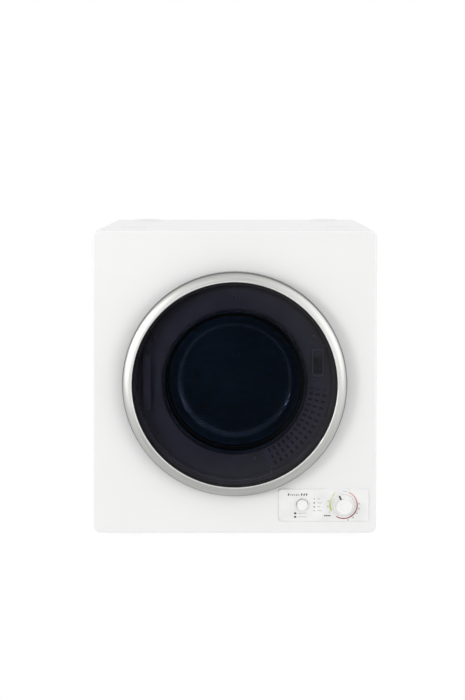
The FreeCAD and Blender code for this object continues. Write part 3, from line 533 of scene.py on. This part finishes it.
def rounded_profile(points, radius, steps=4):
    """Closed (r, d) polygon with every corner off the axis rounded."""
    result = []
    count = len(points)
    for i, point in enumerate(points):
        before, after = points[i - 1], points[(i + 1) % count]
        here = Vector((*point, 0))
        to_before = Vector((*before, 0)) - here
        to_after = Vector((*after, 0)) - here
        if point[0] < 0.01:
            result.append(point)
            continue
        cut = min(radius, to_before.length * 0.45, to_after.length * 0.45)
        start = here + to_before.normalized() * cut
        end = here + to_after.normalized() * cut
        for k in range(steps + 1):
            t = k / steps
            mix = start * (1 - t) ** 2 + here * (2 * t * (1 - t)) + end * t ** 2
            result.append((mix.x, mix.y))
    return result


# ------------------------------------------------------------------ cabinet
def build_front_panel():
    """Pressed front: rolled outer edge, door hole with a rolled rim, control window."""
    half_u, half_v = half_of(PANEL_LOW, PANEL_HIGH)
    corner, edge, sheet = 0.016, 0.0045, 0.0014
    back = PANEL_HIGH[1] - PANEL_LOW[1]
    hole_r, rim_r, rim_depth = 205, 3, 6

    def flat(inset, y):
        """Ring of points round the panel's outline."""
        ring = outline(half_u, half_v, corner, inset, 16, 40)
        return [(u, y, v) for u, v in ring]

    def hole(radius_mm, d_mm):
        """Ring of as many points round the door hole."""
        ring = []
        for u, v in outline(half_u, half_v, corner, 0.0, 16, 40):
            turn = math.atan2(v, u)
            ring.append((radius_mm * MM * math.cos(turn), d_mm * MM, radius_mm * MM * math.sin(turn)))
        return ring

    rings = [hole(hole_r, rim_depth), hole(hole_r, rim_r)]
    rings += [hole(r, d) for r, d in arc((hole_r + rim_r, rim_r), rim_r, 180, 270)]
    rings.append(hole(hole_r + rim_r + 1, 0))
    rings.append(flat(edge + 0.0006, 0.0))
    rings += [flat(inset, fall) for inset, fall in reversed(roll(edge, 8))]
    rings.append(flat(0.0, back))
    rings.append(flat(sheet, back))
    rings.append(flat(sheet, edge))
    rings.append(flat(edge + sheet, sheet))
    rings.append(hole(hole_r + rim_r + 1, sheet / MM))
    rings.append(hole(hole_r + sheet / MM, rim_depth))
    shape = bmesh.new()
    stitch(shape, rings, close=True)
    middle = (0.0, FRONT_Y, (PANEL_LOW[2] + PANEL_HIGH[2]) / 2)
    panel = from_bmesh("front_panel_skin", shape, middle, FINISH["white_enamel"])
    margin, cut_from, cut_to = 0.008, -3, 4
    window = block("window_cut", (FASCIA_LOW[0] + margin, depth(cut_from), FASCIA_LOW[2] + margin),
                   (FASCIA_HIGH[0] - margin, depth(cut_to), FASCIA_HIGH[2] - margin))
    carve(panel, [window])
    attach(panel, "cabinet", "white_enamel", "front_panel")


# Depths, radii and heights in millimetres, PAD_X in metres.
TOP_START = 22.3              # depth of the cover's front edge
PAD_X, PAD_DEPTH = 0.215, 444
PAD_R, PAD_TOP_R, PAD_RISE = 41, 28, 2.7


def build_top_cover():
    """Folded tray with a soft edge, a shallow raised field and two front slots."""
    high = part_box("top_cover")[1]
    pads_rise, skirt = 0.0035, 0.016
    top = high[2] - pads_rise
    back_y, front_y = high[1], depth(TOP_START)
    half_u, half_v = high[0], (back_y - front_y) / 2
    middle = (0.0, (back_y + front_y) / 2, 0.0)
    edge, sheet, corner = 0.003, 0.0012, 0.006
    field, field_rise = 0.014, 0.0009

    def level(inset, z):
        """Ring of points round the cover's outline."""
        return [(u, v, z) for u, v in outline(half_u, half_v, corner, inset, 6, 6)]

    rings = [level(sheet + 0.0005, top - sheet - 0.001), level(sheet, top - skirt), level(0.0, top - skirt)]
    rings += [level(inset, top - fall) for inset, fall in roll(edge)]
    rings += [level(edge + 0.0004, top), level(field - 0.0006, top), level(field, top + 0.0001)]
    rings += [level(field + 0.002, top + field_rise), level(field + 0.0026, top + field_rise)]
    shape = bmesh.new()
    loops = stitch(shape, rings)
    shape.faces.new(loops[0])
    shape.faces.new(loops[-1])
    cover = from_bmesh("top_cover_skin", shape, middle, FINISH["white_enamel"])
    slot_x, slot_y, slot_half_x, slot_half_y, slot_corner = 0.223, depth(141), 0.027, 0.004, 0.0035
    cutters = []
    for side in (-1, 1):
        x = side * slot_x
        cutters.append(block("slot_cut", (x - slot_half_x, slot_y - slot_half_y, top - 0.02),
                             (x + slot_half_x, slot_y + slot_half_y, top + 0.01)))
    for cutter in cutters:
        round_uprights(cutter, slot_corner)
    carve(cover, cutters)
    attach(cover, "cabinet", "white_enamel", "top_cover")
    for side, label in ((-1, "left"), (1, "right")):
        build_top_pad(side, label, top + field_rise)


def round_uprights(piece, width):
    """Rounds a box's four upright edges."""
    shape = bmesh.new()
    shape.from_mesh(piece.data)
    edges = [e for e in shape.edges if abs((e.verts[0].co - e.verts[1].co).normalized().z) > 0.9]
    bmesh.ops.bevel(shape, geom=edges, offset=width, segments=5, affect="EDGES", profile=0.5)
    shape.to_mesh(piece.data)
    shape.free()


def upright_lathe(name, profile, centre, material, steps=96):
    """Turns a closed profile of (radius, height) millimetre pairs about a vertical axis."""
    shape = bmesh.new()
    turns = [2 * math.pi * i / steps for i in range(steps)]
    rings = []
    for radius, height in profile:
        reach = max(radius, AXIS_R) * MM
        rings.append([(reach * math.cos(turn), reach * math.sin(turn), height * MM) for turn in turns])
    stitch(shape, rings, close=True)
    return from_bmesh(name, shape, centre, material)


def build_top_pad(side, label, height):
    """Raised rear pad with a dished screw well."""
    centre = (side * PAD_X, depth(PAD_DEPTH), height)
    swell = []
    for i in range(13):
        t = i / 12
        rise = PAD_RISE * (0.5 - 0.5 * math.cos(math.pi * t))
        swell.append((PAD_R + (PAD_TOP_R - PAD_R) * t, rise))
    profile = [(PAD_R, -1.0)] + swell + [(9, PAD_RISE), (7.5, 2.5), (6, 1.4), (3.2, 1.2), (3.2, -1.0)]
    pad = upright_lathe("top_pad_" + label, profile, centre, FINISH["white_enamel"])
    attach(pad, "cabinet", "white_enamel")
    stopper = [(0, 0.6), (2.6, 0.6), (3.1, 0.2), (3.1, -1.2), (0, -1.2)]
    well = upright_lathe("top_pad_plug_" + label, stopper, centre, FINISH["dark_plastic"], 48)
    attach(well, "cabinet", "dark_plastic")


# ------------------------------------------------------------------ door
# Radii and depths in millimetres, the lugs' places in metres.
RING_INNER, RING_OUTER = 212.5, 233.0
RING_BACK = -8.0
BAND_START, BAND_END = 215.2, 230.2      # the broad face, from its lip out to the bevel
BAND_CREST = -34.2                       # depth of its inner, foremost edge
LUG_X = (-0.240, -0.2165)                # the two hinge lugs' gaps in the ring's left side
LUG_OFFSET, LUG_HALF = 0.030, 0.0055


def build_door_ring():
    """Spun satin channel: inner bead with a painted highlight, broad crowned band, outer bevel with painted
    shade, side wall.
    """
    profile = [(RING_INNER, RING_BACK), (RING_INNER, -32.6)]
    profile += arc((RING_INNER + 1.4, -33.0), 1.4, 180, 290, 6)
    for i in range(13):
        t = i / 12
        profile.append((BAND_START + (BAND_END - BAND_START) * t, BAND_CREST + 3.2 * t + 1.8 * t ** 3))
    profile += [(230.6, -28.7), (232.0, -26.4)]
    profile += arc((230.9, -24.2), 2.1, -50, 0, 6)
    profile += [(RING_OUTER, -22.0), (RING_OUTER, -7.2), (232.4, -6.2), (231.6, -6.2), (231.5, -22.5),
                (227.0, -27.0), (214.6, -31.4), (214.0, RING_BACK)]
    ring = lathe("door_ring_spun", profile, DOOR_CENTRE, FINISH["satin_ring"], 320)
    cutters = []
    for side in (-1, 1):
        z = AXIS_Z + side * LUG_OFFSET
        cutters.append(block("lug_cut", (LUG_X[0], depth(-22.4), z - LUG_HALF),
                             (LUG_X[1], depth(1), z + LUG_HALF)))
    carve(ring, cutters)
    attach(ring, "door", "satin_ring", "door_ring")


def build_door_window():
    """Domed smoked glass with a softened rim."""
    radius, edge, crown, glass, back = RING_INNER - 0.2, -33.0, -47.6, 3.0, -25.0
    steps = 32

    def face(r):
        """Depth of the dome's outer face at a radius."""
        return edge - (edge - crown) * (1 - (r / radius) ** 2)

    outer = [radius * (1 - i / steps) for i in range(steps + 1)]
    inner = [(radius - glass) * i / steps for i in range(steps + 1)]
    profile = [(r, face(r)) for r in outer] + [(r, face(r) + glass) for r in inner]
    profile += [(radius - glass, back), (radius - 0.6, back), (radius, back - 0.6), (radius, -32.0)]
    window = lathe("door_window_glass", profile, DOOR_CENTRE, FINISH["smoked_glass"], 256)
    attach(window, "door", "smoked_glass", "door_window")


def build_door_bowl():
    """Clear flange and the deep tinted bowl that plugs the drum's mouth."""
    neck_r, flange_r, flange_back, wall = 150.5, 211.5, -0.5, 3.0
    flange_front = flange_back - wall
    flange = rounded_profile([(neck_r, flange_front), (flange_r, flange_front),
                              (flange_r, flange_back), (neck_r, flange_back)], 0.6)
    plate_ring = lathe("door_bowl_flange", flange, DOOR_CENTRE, FINISH["clear_bowl"], 192)
    attach(plate_ring, "door", "clear_bowl")
    neck, neck_bend = (neck_r, 6.0), 6.5
    belly, belly_bend = (104.0, 4.0), 48.0
    floor_r, floor = 60, belly[1] + belly_bend
    outer = [(neck_r, flange_back)] + arc(neck, neck_bend, 270, 195, 6)
    outer += [(143.0, 16.0)] + arc(belly, belly_bend, 42, 90, 14) + [(floor_r, floor), (0, floor)]
    inner = [(0, floor - wall), (floor_r, floor - wall)] + arc(belly, belly_bend - wall, 90, 42, 14)
    inner += [(140.0, 15.0)] + arc(neck, neck_bend + wall, 195, 270, 6)
    bowl = lathe("door_bowl_deep", outer + inner, DOOR_CENTRE, FINISH["deep_bowl"], 224)
    attach(bowl, "door", "clear_bowl", "door_bowl")


def build_latch_trim():
    """Dark bead round the catch plate's edge, with a light lip inside it that is a painted highlight of the
    plate's edge.
    """
    low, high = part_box("latch_housing")
    corner, width = 0.009, 0.0015
    for name, finish, slot, inset, front, back in (
            ("latch_bead", "dark_plastic", "dark_plastic", -0.0012, MOUTH_FACE - 0.4, MOUTH_FACE - 0.1),
            # the light lip is a painted highlight of the catch plate's edge
            ("latch_painted_highlight", "edge_highlight_grey", "grey_plastic", 0.0012, MOUTH_FACE - 1.9, MOUTH_FACE - 1.3)):
        section = [(inset, back), (inset, front), (inset + width, front), (inset + width, back)]
        attach(hoop(name, low, high, corner, section, FINISH[finish]), "cabinet", slot)


def build_hinge_strap():
    """Reinforcing strap behind the glass, on the hinge side."""
    low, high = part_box("door_hinge_strap")
    strap = plate("door_hinge_strap_plate", low, high, 0.004, 0.0008, FINISH["strap_grey"])
    attach(strap, "door", "grey_plastic", "door_hinge_strap")


# ------------------------------------------------------------------ control panel
# Radii and depths in millimetres.
DIAL_HOLE_R = 6.0
BUTTON_HOLE_R = 11.9
BUTTON_R = 11.4
STEM_R = 4.0
SKIRT_R, SKIRT_FACE = 22.0, -8.0
GRIP_BASE_R, GRIP_FRONT_R, GRIP_FRONT = 13.2, 16.3, -22.0
KNOB_BORE_R, SPINDLE_R = 3.1, 2.95
FLUTES, FLUTE_SWELL = 30, 0.16
POINTER_TURN = math.radians(25)


def build_fascia():
    """Raised rounded panel with a soft edge, a thin backing hoop and two holes."""
    corner, edge, fascia_back = 0.006, 0.0012, 3.4
    section = [(-0.0008, -0.05), (-0.0008, -0.5), (-0.0006, -0.6), (0.0030, -0.6), (0.0030, -0.05)]
    gasket = hoop("fascia_gasket", FASCIA_LOW, FASCIA_HIGH, corner, section, FINISH["white_plastic"])
    attach(gasket, "cabinet", "white_plastic")
    low = (FASCIA_LOW[0], depth(FASCIA_FACE), FASCIA_LOW[2])
    high = (FASCIA_HIGH[0], depth(fascia_back), FASCIA_HIGH[2])
    fascia = plate("control_fascia_shell", low, high, corner, edge, FINISH["white_plastic"])
    holes = [(DIAL, DIAL_HOLE_R), (BUTTON, BUTTON_HOLE_R)]
    carve(fascia, [plug("fascia_cut", centre, radius, -8, 8) for centre, radius in holes])
    attach(fascia, "cabinet", "white_plastic", "control_fascia")
    sunk = FASCIA_FACE + 0.1
    rim = rounded_profile([(12.3, sunk), (12.3, -4.2), (14.0, -4.2), (14.6, sunk)], 0.5)
    attach(lathe("button_rim", rim, BUTTON, FINISH["white_plastic"], 96), "cabinet", "white_plastic")
    well = [(BUTTON_HOLE_R, sunk), (12.4, sunk), (12.4, 2.5), (BUTTON_HOLE_R, 2.5)]
    attach(lathe("button_well", well, BUTTON, FINISH["grey_plastic"], 96), "cabinet", "grey_plastic")


def build_knob():
    """Dial skirt, fluted grip and the black pointer."""
    skirt = [(KNOB_BORE_R, -3.6), (SKIRT_R, -3.6), (SKIRT_R, -6.6), (20.6, SKIRT_FACE),
             (KNOB_BORE_R, -8.4)]
    grip = [(KNOB_BORE_R, SKIRT_FACE), (GRIP_BASE_R, SKIRT_FACE), (13.5, -9.5), (GRIP_FRONT_R, -20.4),
            (15.0, GRIP_FRONT), (9.0, -21.5), (0, -21.3), (0, -20.0), (KNOB_BORE_R, -20.0)]

    def flutes(radius, d, turn):
        """Ripple of the grip's side wall, and none elsewhere."""
        on_side = radius > 13.8 and -20.0 < d < -9.8
        return FLUTE_SWELL * math.cos(FLUTES * turn) if on_side else 0.0

    attach(lathe("timer_knob_skirt", rounded_profile(skirt, 0.8), DIAL, FINISH["white_plastic"], 160),
           "timer_knob", "white_plastic", "timer_knob")
    attach(lathe("timer_knob_grip", rounded_profile(grip, 1.1, 5), DIAL, FINISH["white_plastic"], 240,
                 ripple=flutes), "timer_knob", "white_plastic")
    spindle = rounded_profile([(0, -19.8), (SPINDLE_R, -19.8), (SPINDLE_R, 22.8), (0, 22.8)], 0.4)
    attach(lathe("timer_knob_spindle", spindle, DIAL, FINISH["screw_steel"], 48), "timer_knob", "screw_steel")
    half_width, inner_end, outer_end = 0.0015, 0.0112, 0.0221
    bar = plate("timer_knob_pointer", (-half_width, depth(SKIRT_FACE - 1.0), inner_end),
                (half_width, depth(SKIRT_FACE), outer_end), 0.0008, 0.0003, INK_BLACK, 4)
    bake_turn(bar, DIAL, POINTER_TURN)
    attach(bar, "timer_knob", "white_plastic")


def bake_turn(piece, centre, turn):
    """Moves a piece drawn round x = z = 0 to a dial, turned about its axis."""
    shift = Vector(piece.location)
    for vert in piece.data.vertices:
        point = vert.co + shift
        x = point.x * math.cos(turn) - point.z * math.sin(turn)
        z = point.x * math.sin(turn) + point.z * math.cos(turn)
        vert.co = Vector((x, point.y, z))
    piece.location = (centre[0], 0.0, centre[2])


def build_button():
    """Round push button with a dished face and its stem."""
    cap_back, stem_back = -1.0, 16.8
    cap = [(0, -8.5), (6.0, -8.6), (9.2, -9.0), (BUTTON_R, -8.9), (BUTTON_R, cap_back), (4.2, cap_back),
           (0, cap_back)]
    attach(lathe("selector_button_cap", rounded_profile(cap, 1.2, 5), BUTTON, FINISH["white_plastic"], 96),
           "selector_button", "white_plastic", "selector_button")
    stem_front = cap_back - 0.1
    stem = rounded_profile([(0, stem_front), (STEM_R, stem_front), (STEM_R, stem_back), (0, stem_back)], 0.4)
    attach(lathe("selector_button_stem", stem, BUTTON, FINISH["dark_plastic"], 48),
           "selector_button", "dark_plastic")


# ------------------------------------------------------------------ printed marks
def print_shape(name, points, material, centre):
    """Thin printed film on the fascia, from (x, z) millimetre points round a centre."""
    shape = bmesh.new()
    rings = [[(x * MM, d * MM, z * MM) for x, z in points] for d in (PRINT_FACE + PRINT_T, PRINT_FACE)]
    loops = stitch(shape, rings)
    shape.faces.new(loops[0])
    shape.faces.new(loops[-1])
    attach(from_bmesh(name, shape, centre, material), "cabinet", "white_plastic")


def beside(centre, right, up):
    """A point so many millimetres to the right of, and above, another."""
    return (centre[0] + right * MM, centre[1], centre[2] + up * MM)


def stroke(width, height, lean=0.0, radius=0.3):
    """Rounded bar round the origin, leaning to the right by so many millimetres at its top."""
    points = outline(width / 2, height / 2, min(radius, width / 2.05, height / 2.05), 0.0, 4)
    return [(x + lean * z / height, z) for x, z in points]


def band(radius, widths, start, end, drift=0.0, steps=40):
    """Curved printed stroke between two angles; its width follows a list of values."""
    outer, inner = [], []
    for i in range(steps + 1):
        t = i / steps
        turn = math.radians(start + (end - start) * t)
        place = t * (len(widths) - 1)
        k = min(int(place), len(widths) - 2)
        width = widths[k] + (widths[k + 1] - widths[k]) * (place - k)
        r = radius + drift * t * t
        outer.append(((r + width / 2) * math.cos(turn), (r + width / 2) * math.sin(turn)))
        inner.append(((r - width / 2) * math.cos(turn), (r - width / 2) * math.sin(turn)))
    return outer + inner[::-1]


def numeral(name, text, angle, radius, size, material):
    """Small upright number, centred on a circle round the dial."""
    curve = bpy.data.curves.new(name, "FONT")
    curve.body = text
    curve.size = size * MM
    curve.align_x, curve.align_y = "CENTER", "CENTER"
    curve.extrude = PRINT_T * MM / 2
    curve.materials.append(material)
    piece = bpy.data.objects.new(name, curve)
    turn = math.radians(angle)
    piece.location = beside(DIAL, radius * math.cos(turn), radius * math.sin(turn))
    piece.location.y = depth(PRINT_FACE + PRINT_T / 2)
    piece.rotation_euler = (math.pi / 2, 0, 0)
    bpy.context.collection.objects.link(piece)
    attach(piece, "cabinet", "white_plastic")


DIAL_NUMBERS = ((166, "30"), (186, "20"), (207, "10"), (4, "50"), (-14, "60"), (-33, "70"), (-53, "80"),
                (-74, "90"))
NUMBER_R, NUMBER_SIZE = 33.2, 3.3
LABEL_PITCH = 3.5


def build_dial_scale():
    """Coloured arcs and numbers round the timer knob, and the off mark's four bars."""
    print_shape("scale_gentle", band(28.4, [2.8, 3.9, 3.2, 2.2], 205, 147), INK_GREEN, DIAL)
    print_shape("scale_gentle_tail", band(29.2, [2.0, 2.5, 0.9], 145.5, 121, 3.6), INK_GREEN, DIAL)
    print_shape("scale_cool", band(29.0, [0.5, 1.1, 0.5], 95, 75), INK_BLUE, DIAL)
    print_shape("scale_normal", band(28.6, [1.3, 2.0, 2.3, 2.2, 2.0], 68, -122, 0.0, 90), INK_RED, DIAL)
    for angle, text in DIAL_NUMBERS:
        numeral("dial_number_" + text, text, angle, NUMBER_R, NUMBER_SIZE, INK_BLACK)
    for i in range(4):
        print_shape("off_mark_%d" % i, stroke(2.8, 2.5, 0.0, 0.9), INK_BLACK,
                    beside(DIAL, -39.5 + LABEL_PITCH * i, -22.6))


def build_heat_key():
    """Four round marks, the middle two larger and darker, each with a short label."""
    for i, lift in enumerate((12.6, 4.3, -3.9, -12.2)):
        major = i in (1, 2)
        print_shape("heat_mark_%d" % i, stroke(2.2, 3.2 if major else 2.2, 0.0, 1.0),
                    INK_BLACK if major else INK_DIM, beside(DIAL, -61.5, lift))
        for k in range(2 + i % 2):
            print_shape("heat_label_%d_%d" % (i, k), stroke(2.4, 1.5, 0.3, 0.5), INK_GREY,
                        beside(DIAL, -53.6 + 3.3 * k, lift))


def build_status_marks():
    """Two small house-shaped marks under the button, each with a label of five bars."""
    house = [(-2.3, -1.9), (2.3, -1.9), (2.3, 0.3), (0.9, 1.9), (-0.9, 1.9), (-2.3, 0.3)]
    for i, lift in enumerate((-18.4, -26.0)):
        print_shape("status_mark_%d" % i, house, INK_BLACK, beside(BUTTON, -14.6, lift))
        for k in range(5):
            print_shape("status_label_%d_%d" % (i, k), stroke(2.6, 1.3, 0.0, 0.5), INK_GREY,
                        beside(BUTTON, -6.4 + LABEL_PITCH * k, lift))


def build_title():
    """Plain title bar of slanted strokes: the first and the last three are tall."""
    base, reach = 18.6, -32.0
    for i, width in enumerate((4.4, 2.2, 3.2, 2.2, 3.4, 1.8, 3.9, 3.7, 3.7)):
        reach += width / 2 + (3.4 if i == 6 else 1.4)
        tall = 4.6 if i in (0, 6, 7, 8) else 2.9
        print_shape("title_stroke_%d" % i, stroke(width * 0.62, tall, 1.0, 0.4), INK_BLACK,
                    beside(BUTTON, reach, base + tall / 2))
        reach += width / 2


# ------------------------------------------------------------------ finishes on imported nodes
NODE_LOOKS = {
    "filter_cover": "cover_grey",
    # the inner frame's lighter grey is partly painted light against the shade round it
    "door_inner_frame": "frame_grey_painted_light",
    "filter_screen": "dark_plastic",
}


def finish_nodes():
    """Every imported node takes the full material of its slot, or its own look."""
    slots = {entry["node"]: entry["material_slot"] for entry in frame["record"]["subparts"]}
    for node, piece in frame["nodes"].items():
        for holder in piece.material_slots:
            holder.material = FINISH[NODE_LOOKS.get(node, slots[node])]


# ------------------------------------------------------------------ studio
FLOOR_REACH = 6.0
CAMERA_PLACE = (0.0135, FRONT_Y - 2.575, 0.795)
CAMERA_PITCH = math.radians(90 - 1.6)
LENS = 63.7
SHIFT = (-0.0124, -0.2213)
# The surround's light level by the height that a ray looks towards, from -1 down to 1 up.
WORLD_BY_HEIGHT = ((-0.9, 0.78), (-0.25, 0.95), (0.2, 1.05), (0.5, 0.97), (1.0, 0.7))
DARK_WAY = (-0.06, -0.987, -0.15)    # where the door glass's reflections look
DARK_LEVEL = 0.04
DARK_EDGE = (0.88, 0.965)            # cosines between which the dark patch fades in
# Name, place (its Y is counted from the front panel), width and height, power in watts.
LAMPS = (("softbox", (2.0, -2.2, 1.35), (2.3, 2.3), 14),
         ("key_left", (-2.0, -2.2, 0.8), (0.8, 1.0), 23),
         ("key_right", (2.0, -2.2, 0.45), (0.8, 1.0), 5))


def build_floor():
    """Pale floor that glows, so that it melts into the white surround.

    It starts under the front panel, so the door's glass doesn't mirror it.
    """
    corners = [(-FLOOR_REACH, FRONT_Y), (FLOOR_REACH, FRONT_Y),
               (FLOOR_REACH, FLOOR_REACH), (-FLOOR_REACH, FLOOR_REACH)]
    shape = bmesh.new()
    shape.faces.new([shape.verts.new((x, y, 0.0)) for x, y in corners])
    recipe = Recipe("pale_floor")
    recipe.link(recipe.ramp(recipe.noise(2.0), [(0.3, (0.18, 0.18, 0.18)), (0.7, (0.22, 0.22, 0.22))]),
                recipe.shader.inputs["Base Color"])
    recipe.set(Roughness=0.9, Emission_Color=(1, 1, 1, 1), Emission_Strength=0.86)
    from_bmesh("studio_floor", shape, (0, 0, -0.0005), recipe.material)


def strength_ramp(tree, source, stops):
    """Light level that follows a value; the ramp holds half of it, so levels may pass 1."""
    ramp = tree.nodes.new("ShaderNodeValToRGB")
    elements = ramp.color_ramp.elements
    while len(elements) < len(stops):
        elements.new(0.5)
    for element, (place, level) in zip(elements, stops):
        element.position = place
        element.color = (level / 2, level / 2, level / 2, 1)
    tree.links.new(source, ramp.inputs["Fac"])
    double = tree.nodes.new("ShaderNodeMath")
    double.operation = "MULTIPLY"
    double.inputs[1].default_value = 2.0
    tree.links.new(ramp.outputs["Color"], double.inputs[0])
    return double.outputs["Value"]


def build_world():
    """White to the camera; as a light it is dimmer above and below, and dark before the door."""
    world = bpy.data.worlds.new("studio")
    bpy.context.scene.world = world
    world.use_nodes = True
    tree = world.node_tree
    background = tree.nodes["Background"]
    background.inputs["Color"].default_value = (1, 1, 1, 1)
    coords = tree.nodes.new("ShaderNodeTexCoord")
    split = tree.nodes.new("ShaderNodeSeparateXYZ")
    tree.links.new(coords.outputs["Generated"], split.inputs["Vector"])
    height = map_range(tree, split.outputs["Z"], -1.0, 1.0, 0.0, 1.0)
    rise = strength_ramp(tree, height, [((z + 1) / 2, level) for z, level in WORLD_BY_HEIGHT])
    facing = tree.nodes.new("ShaderNodeVectorMath")
    facing.operation = "DOT_PRODUCT"
    facing.inputs[1].default_value = DARK_WAY
    tree.links.new(coords.outputs["Generated"], facing.inputs[0])
    ahead = map_range(tree, facing.outputs["Value"], *DARK_EDGE, 1.0, DARK_LEVEL)
    light = tree.nodes.new("ShaderNodeMath")
    light.operation = "MULTIPLY"
    tree.links.new(rise, light.inputs[0])
    tree.links.new(ahead, light.inputs[1])
    rays = tree.nodes.new("ShaderNodeLightPath")
    mix = tree.nodes.new("ShaderNodeMix")
    mix.data_type = "FLOAT"
    mix.inputs["B"].default_value = 1.0
    tree.links.new(rays.outputs["Is Camera Ray"], mix.inputs["Factor"])
    tree.links.new(light.outputs["Value"], mix.inputs["A"])
    tree.links.new(mix.outputs["Result"], background.inputs["Strength"])


def softbox(name, place, aim, width, height, power):
    """Rectangular lamp turned towards a point."""
    light = bpy.data.lights.new(name, "AREA")
    light.shape = "RECTANGLE"
    light.size, light.size_y = width, height
    light.energy = power
    lamp = bpy.data.objects.new(name, light)
    lamp.location = place
    lamp.rotation_euler = (Vector(aim) - Vector(place)).to_track_quat("-Z", "Y").to_euler()
    bpy.context.collection.objects.link(lamp)


def build_camera():
    """Nearly level view from a little above the machine; the shift brings it to mid-frame."""
    camera = bpy.data.cameras.new("camera")
    camera.lens = LENS
    camera.shift_x, camera.shift_y = SHIFT
    holder = bpy.data.objects.new("camera", camera)
    holder.location = CAMERA_PLACE
    holder.rotation_euler = (CAMERA_PITCH, 0, 0)
    bpy.context.collection.objects.link(holder)
    bpy.context.scene.camera = holder


def build_studio():
    """Floor, surround, lamps and camera."""
    bpy.context.scene.view_settings.view_transform = "Standard"
    build_floor()
    build_world()
    for name, (x, y, z), (width, height), power in LAMPS:
        softbox(name, (x, FRONT_Y + y, z), DOOR_CENTRE, width, height, power)
    build_camera()


build_studio()
finish_nodes()
build_front_panel()
build_top_cover()
build_door_ring()
build_door_window()
build_door_bowl()
build_hinge_strap()
build_latch_trim()
build_fascia()
build_knob()
build_button()
build_dial_scale()
build_heat_key()
build_status_marks()
build_title()
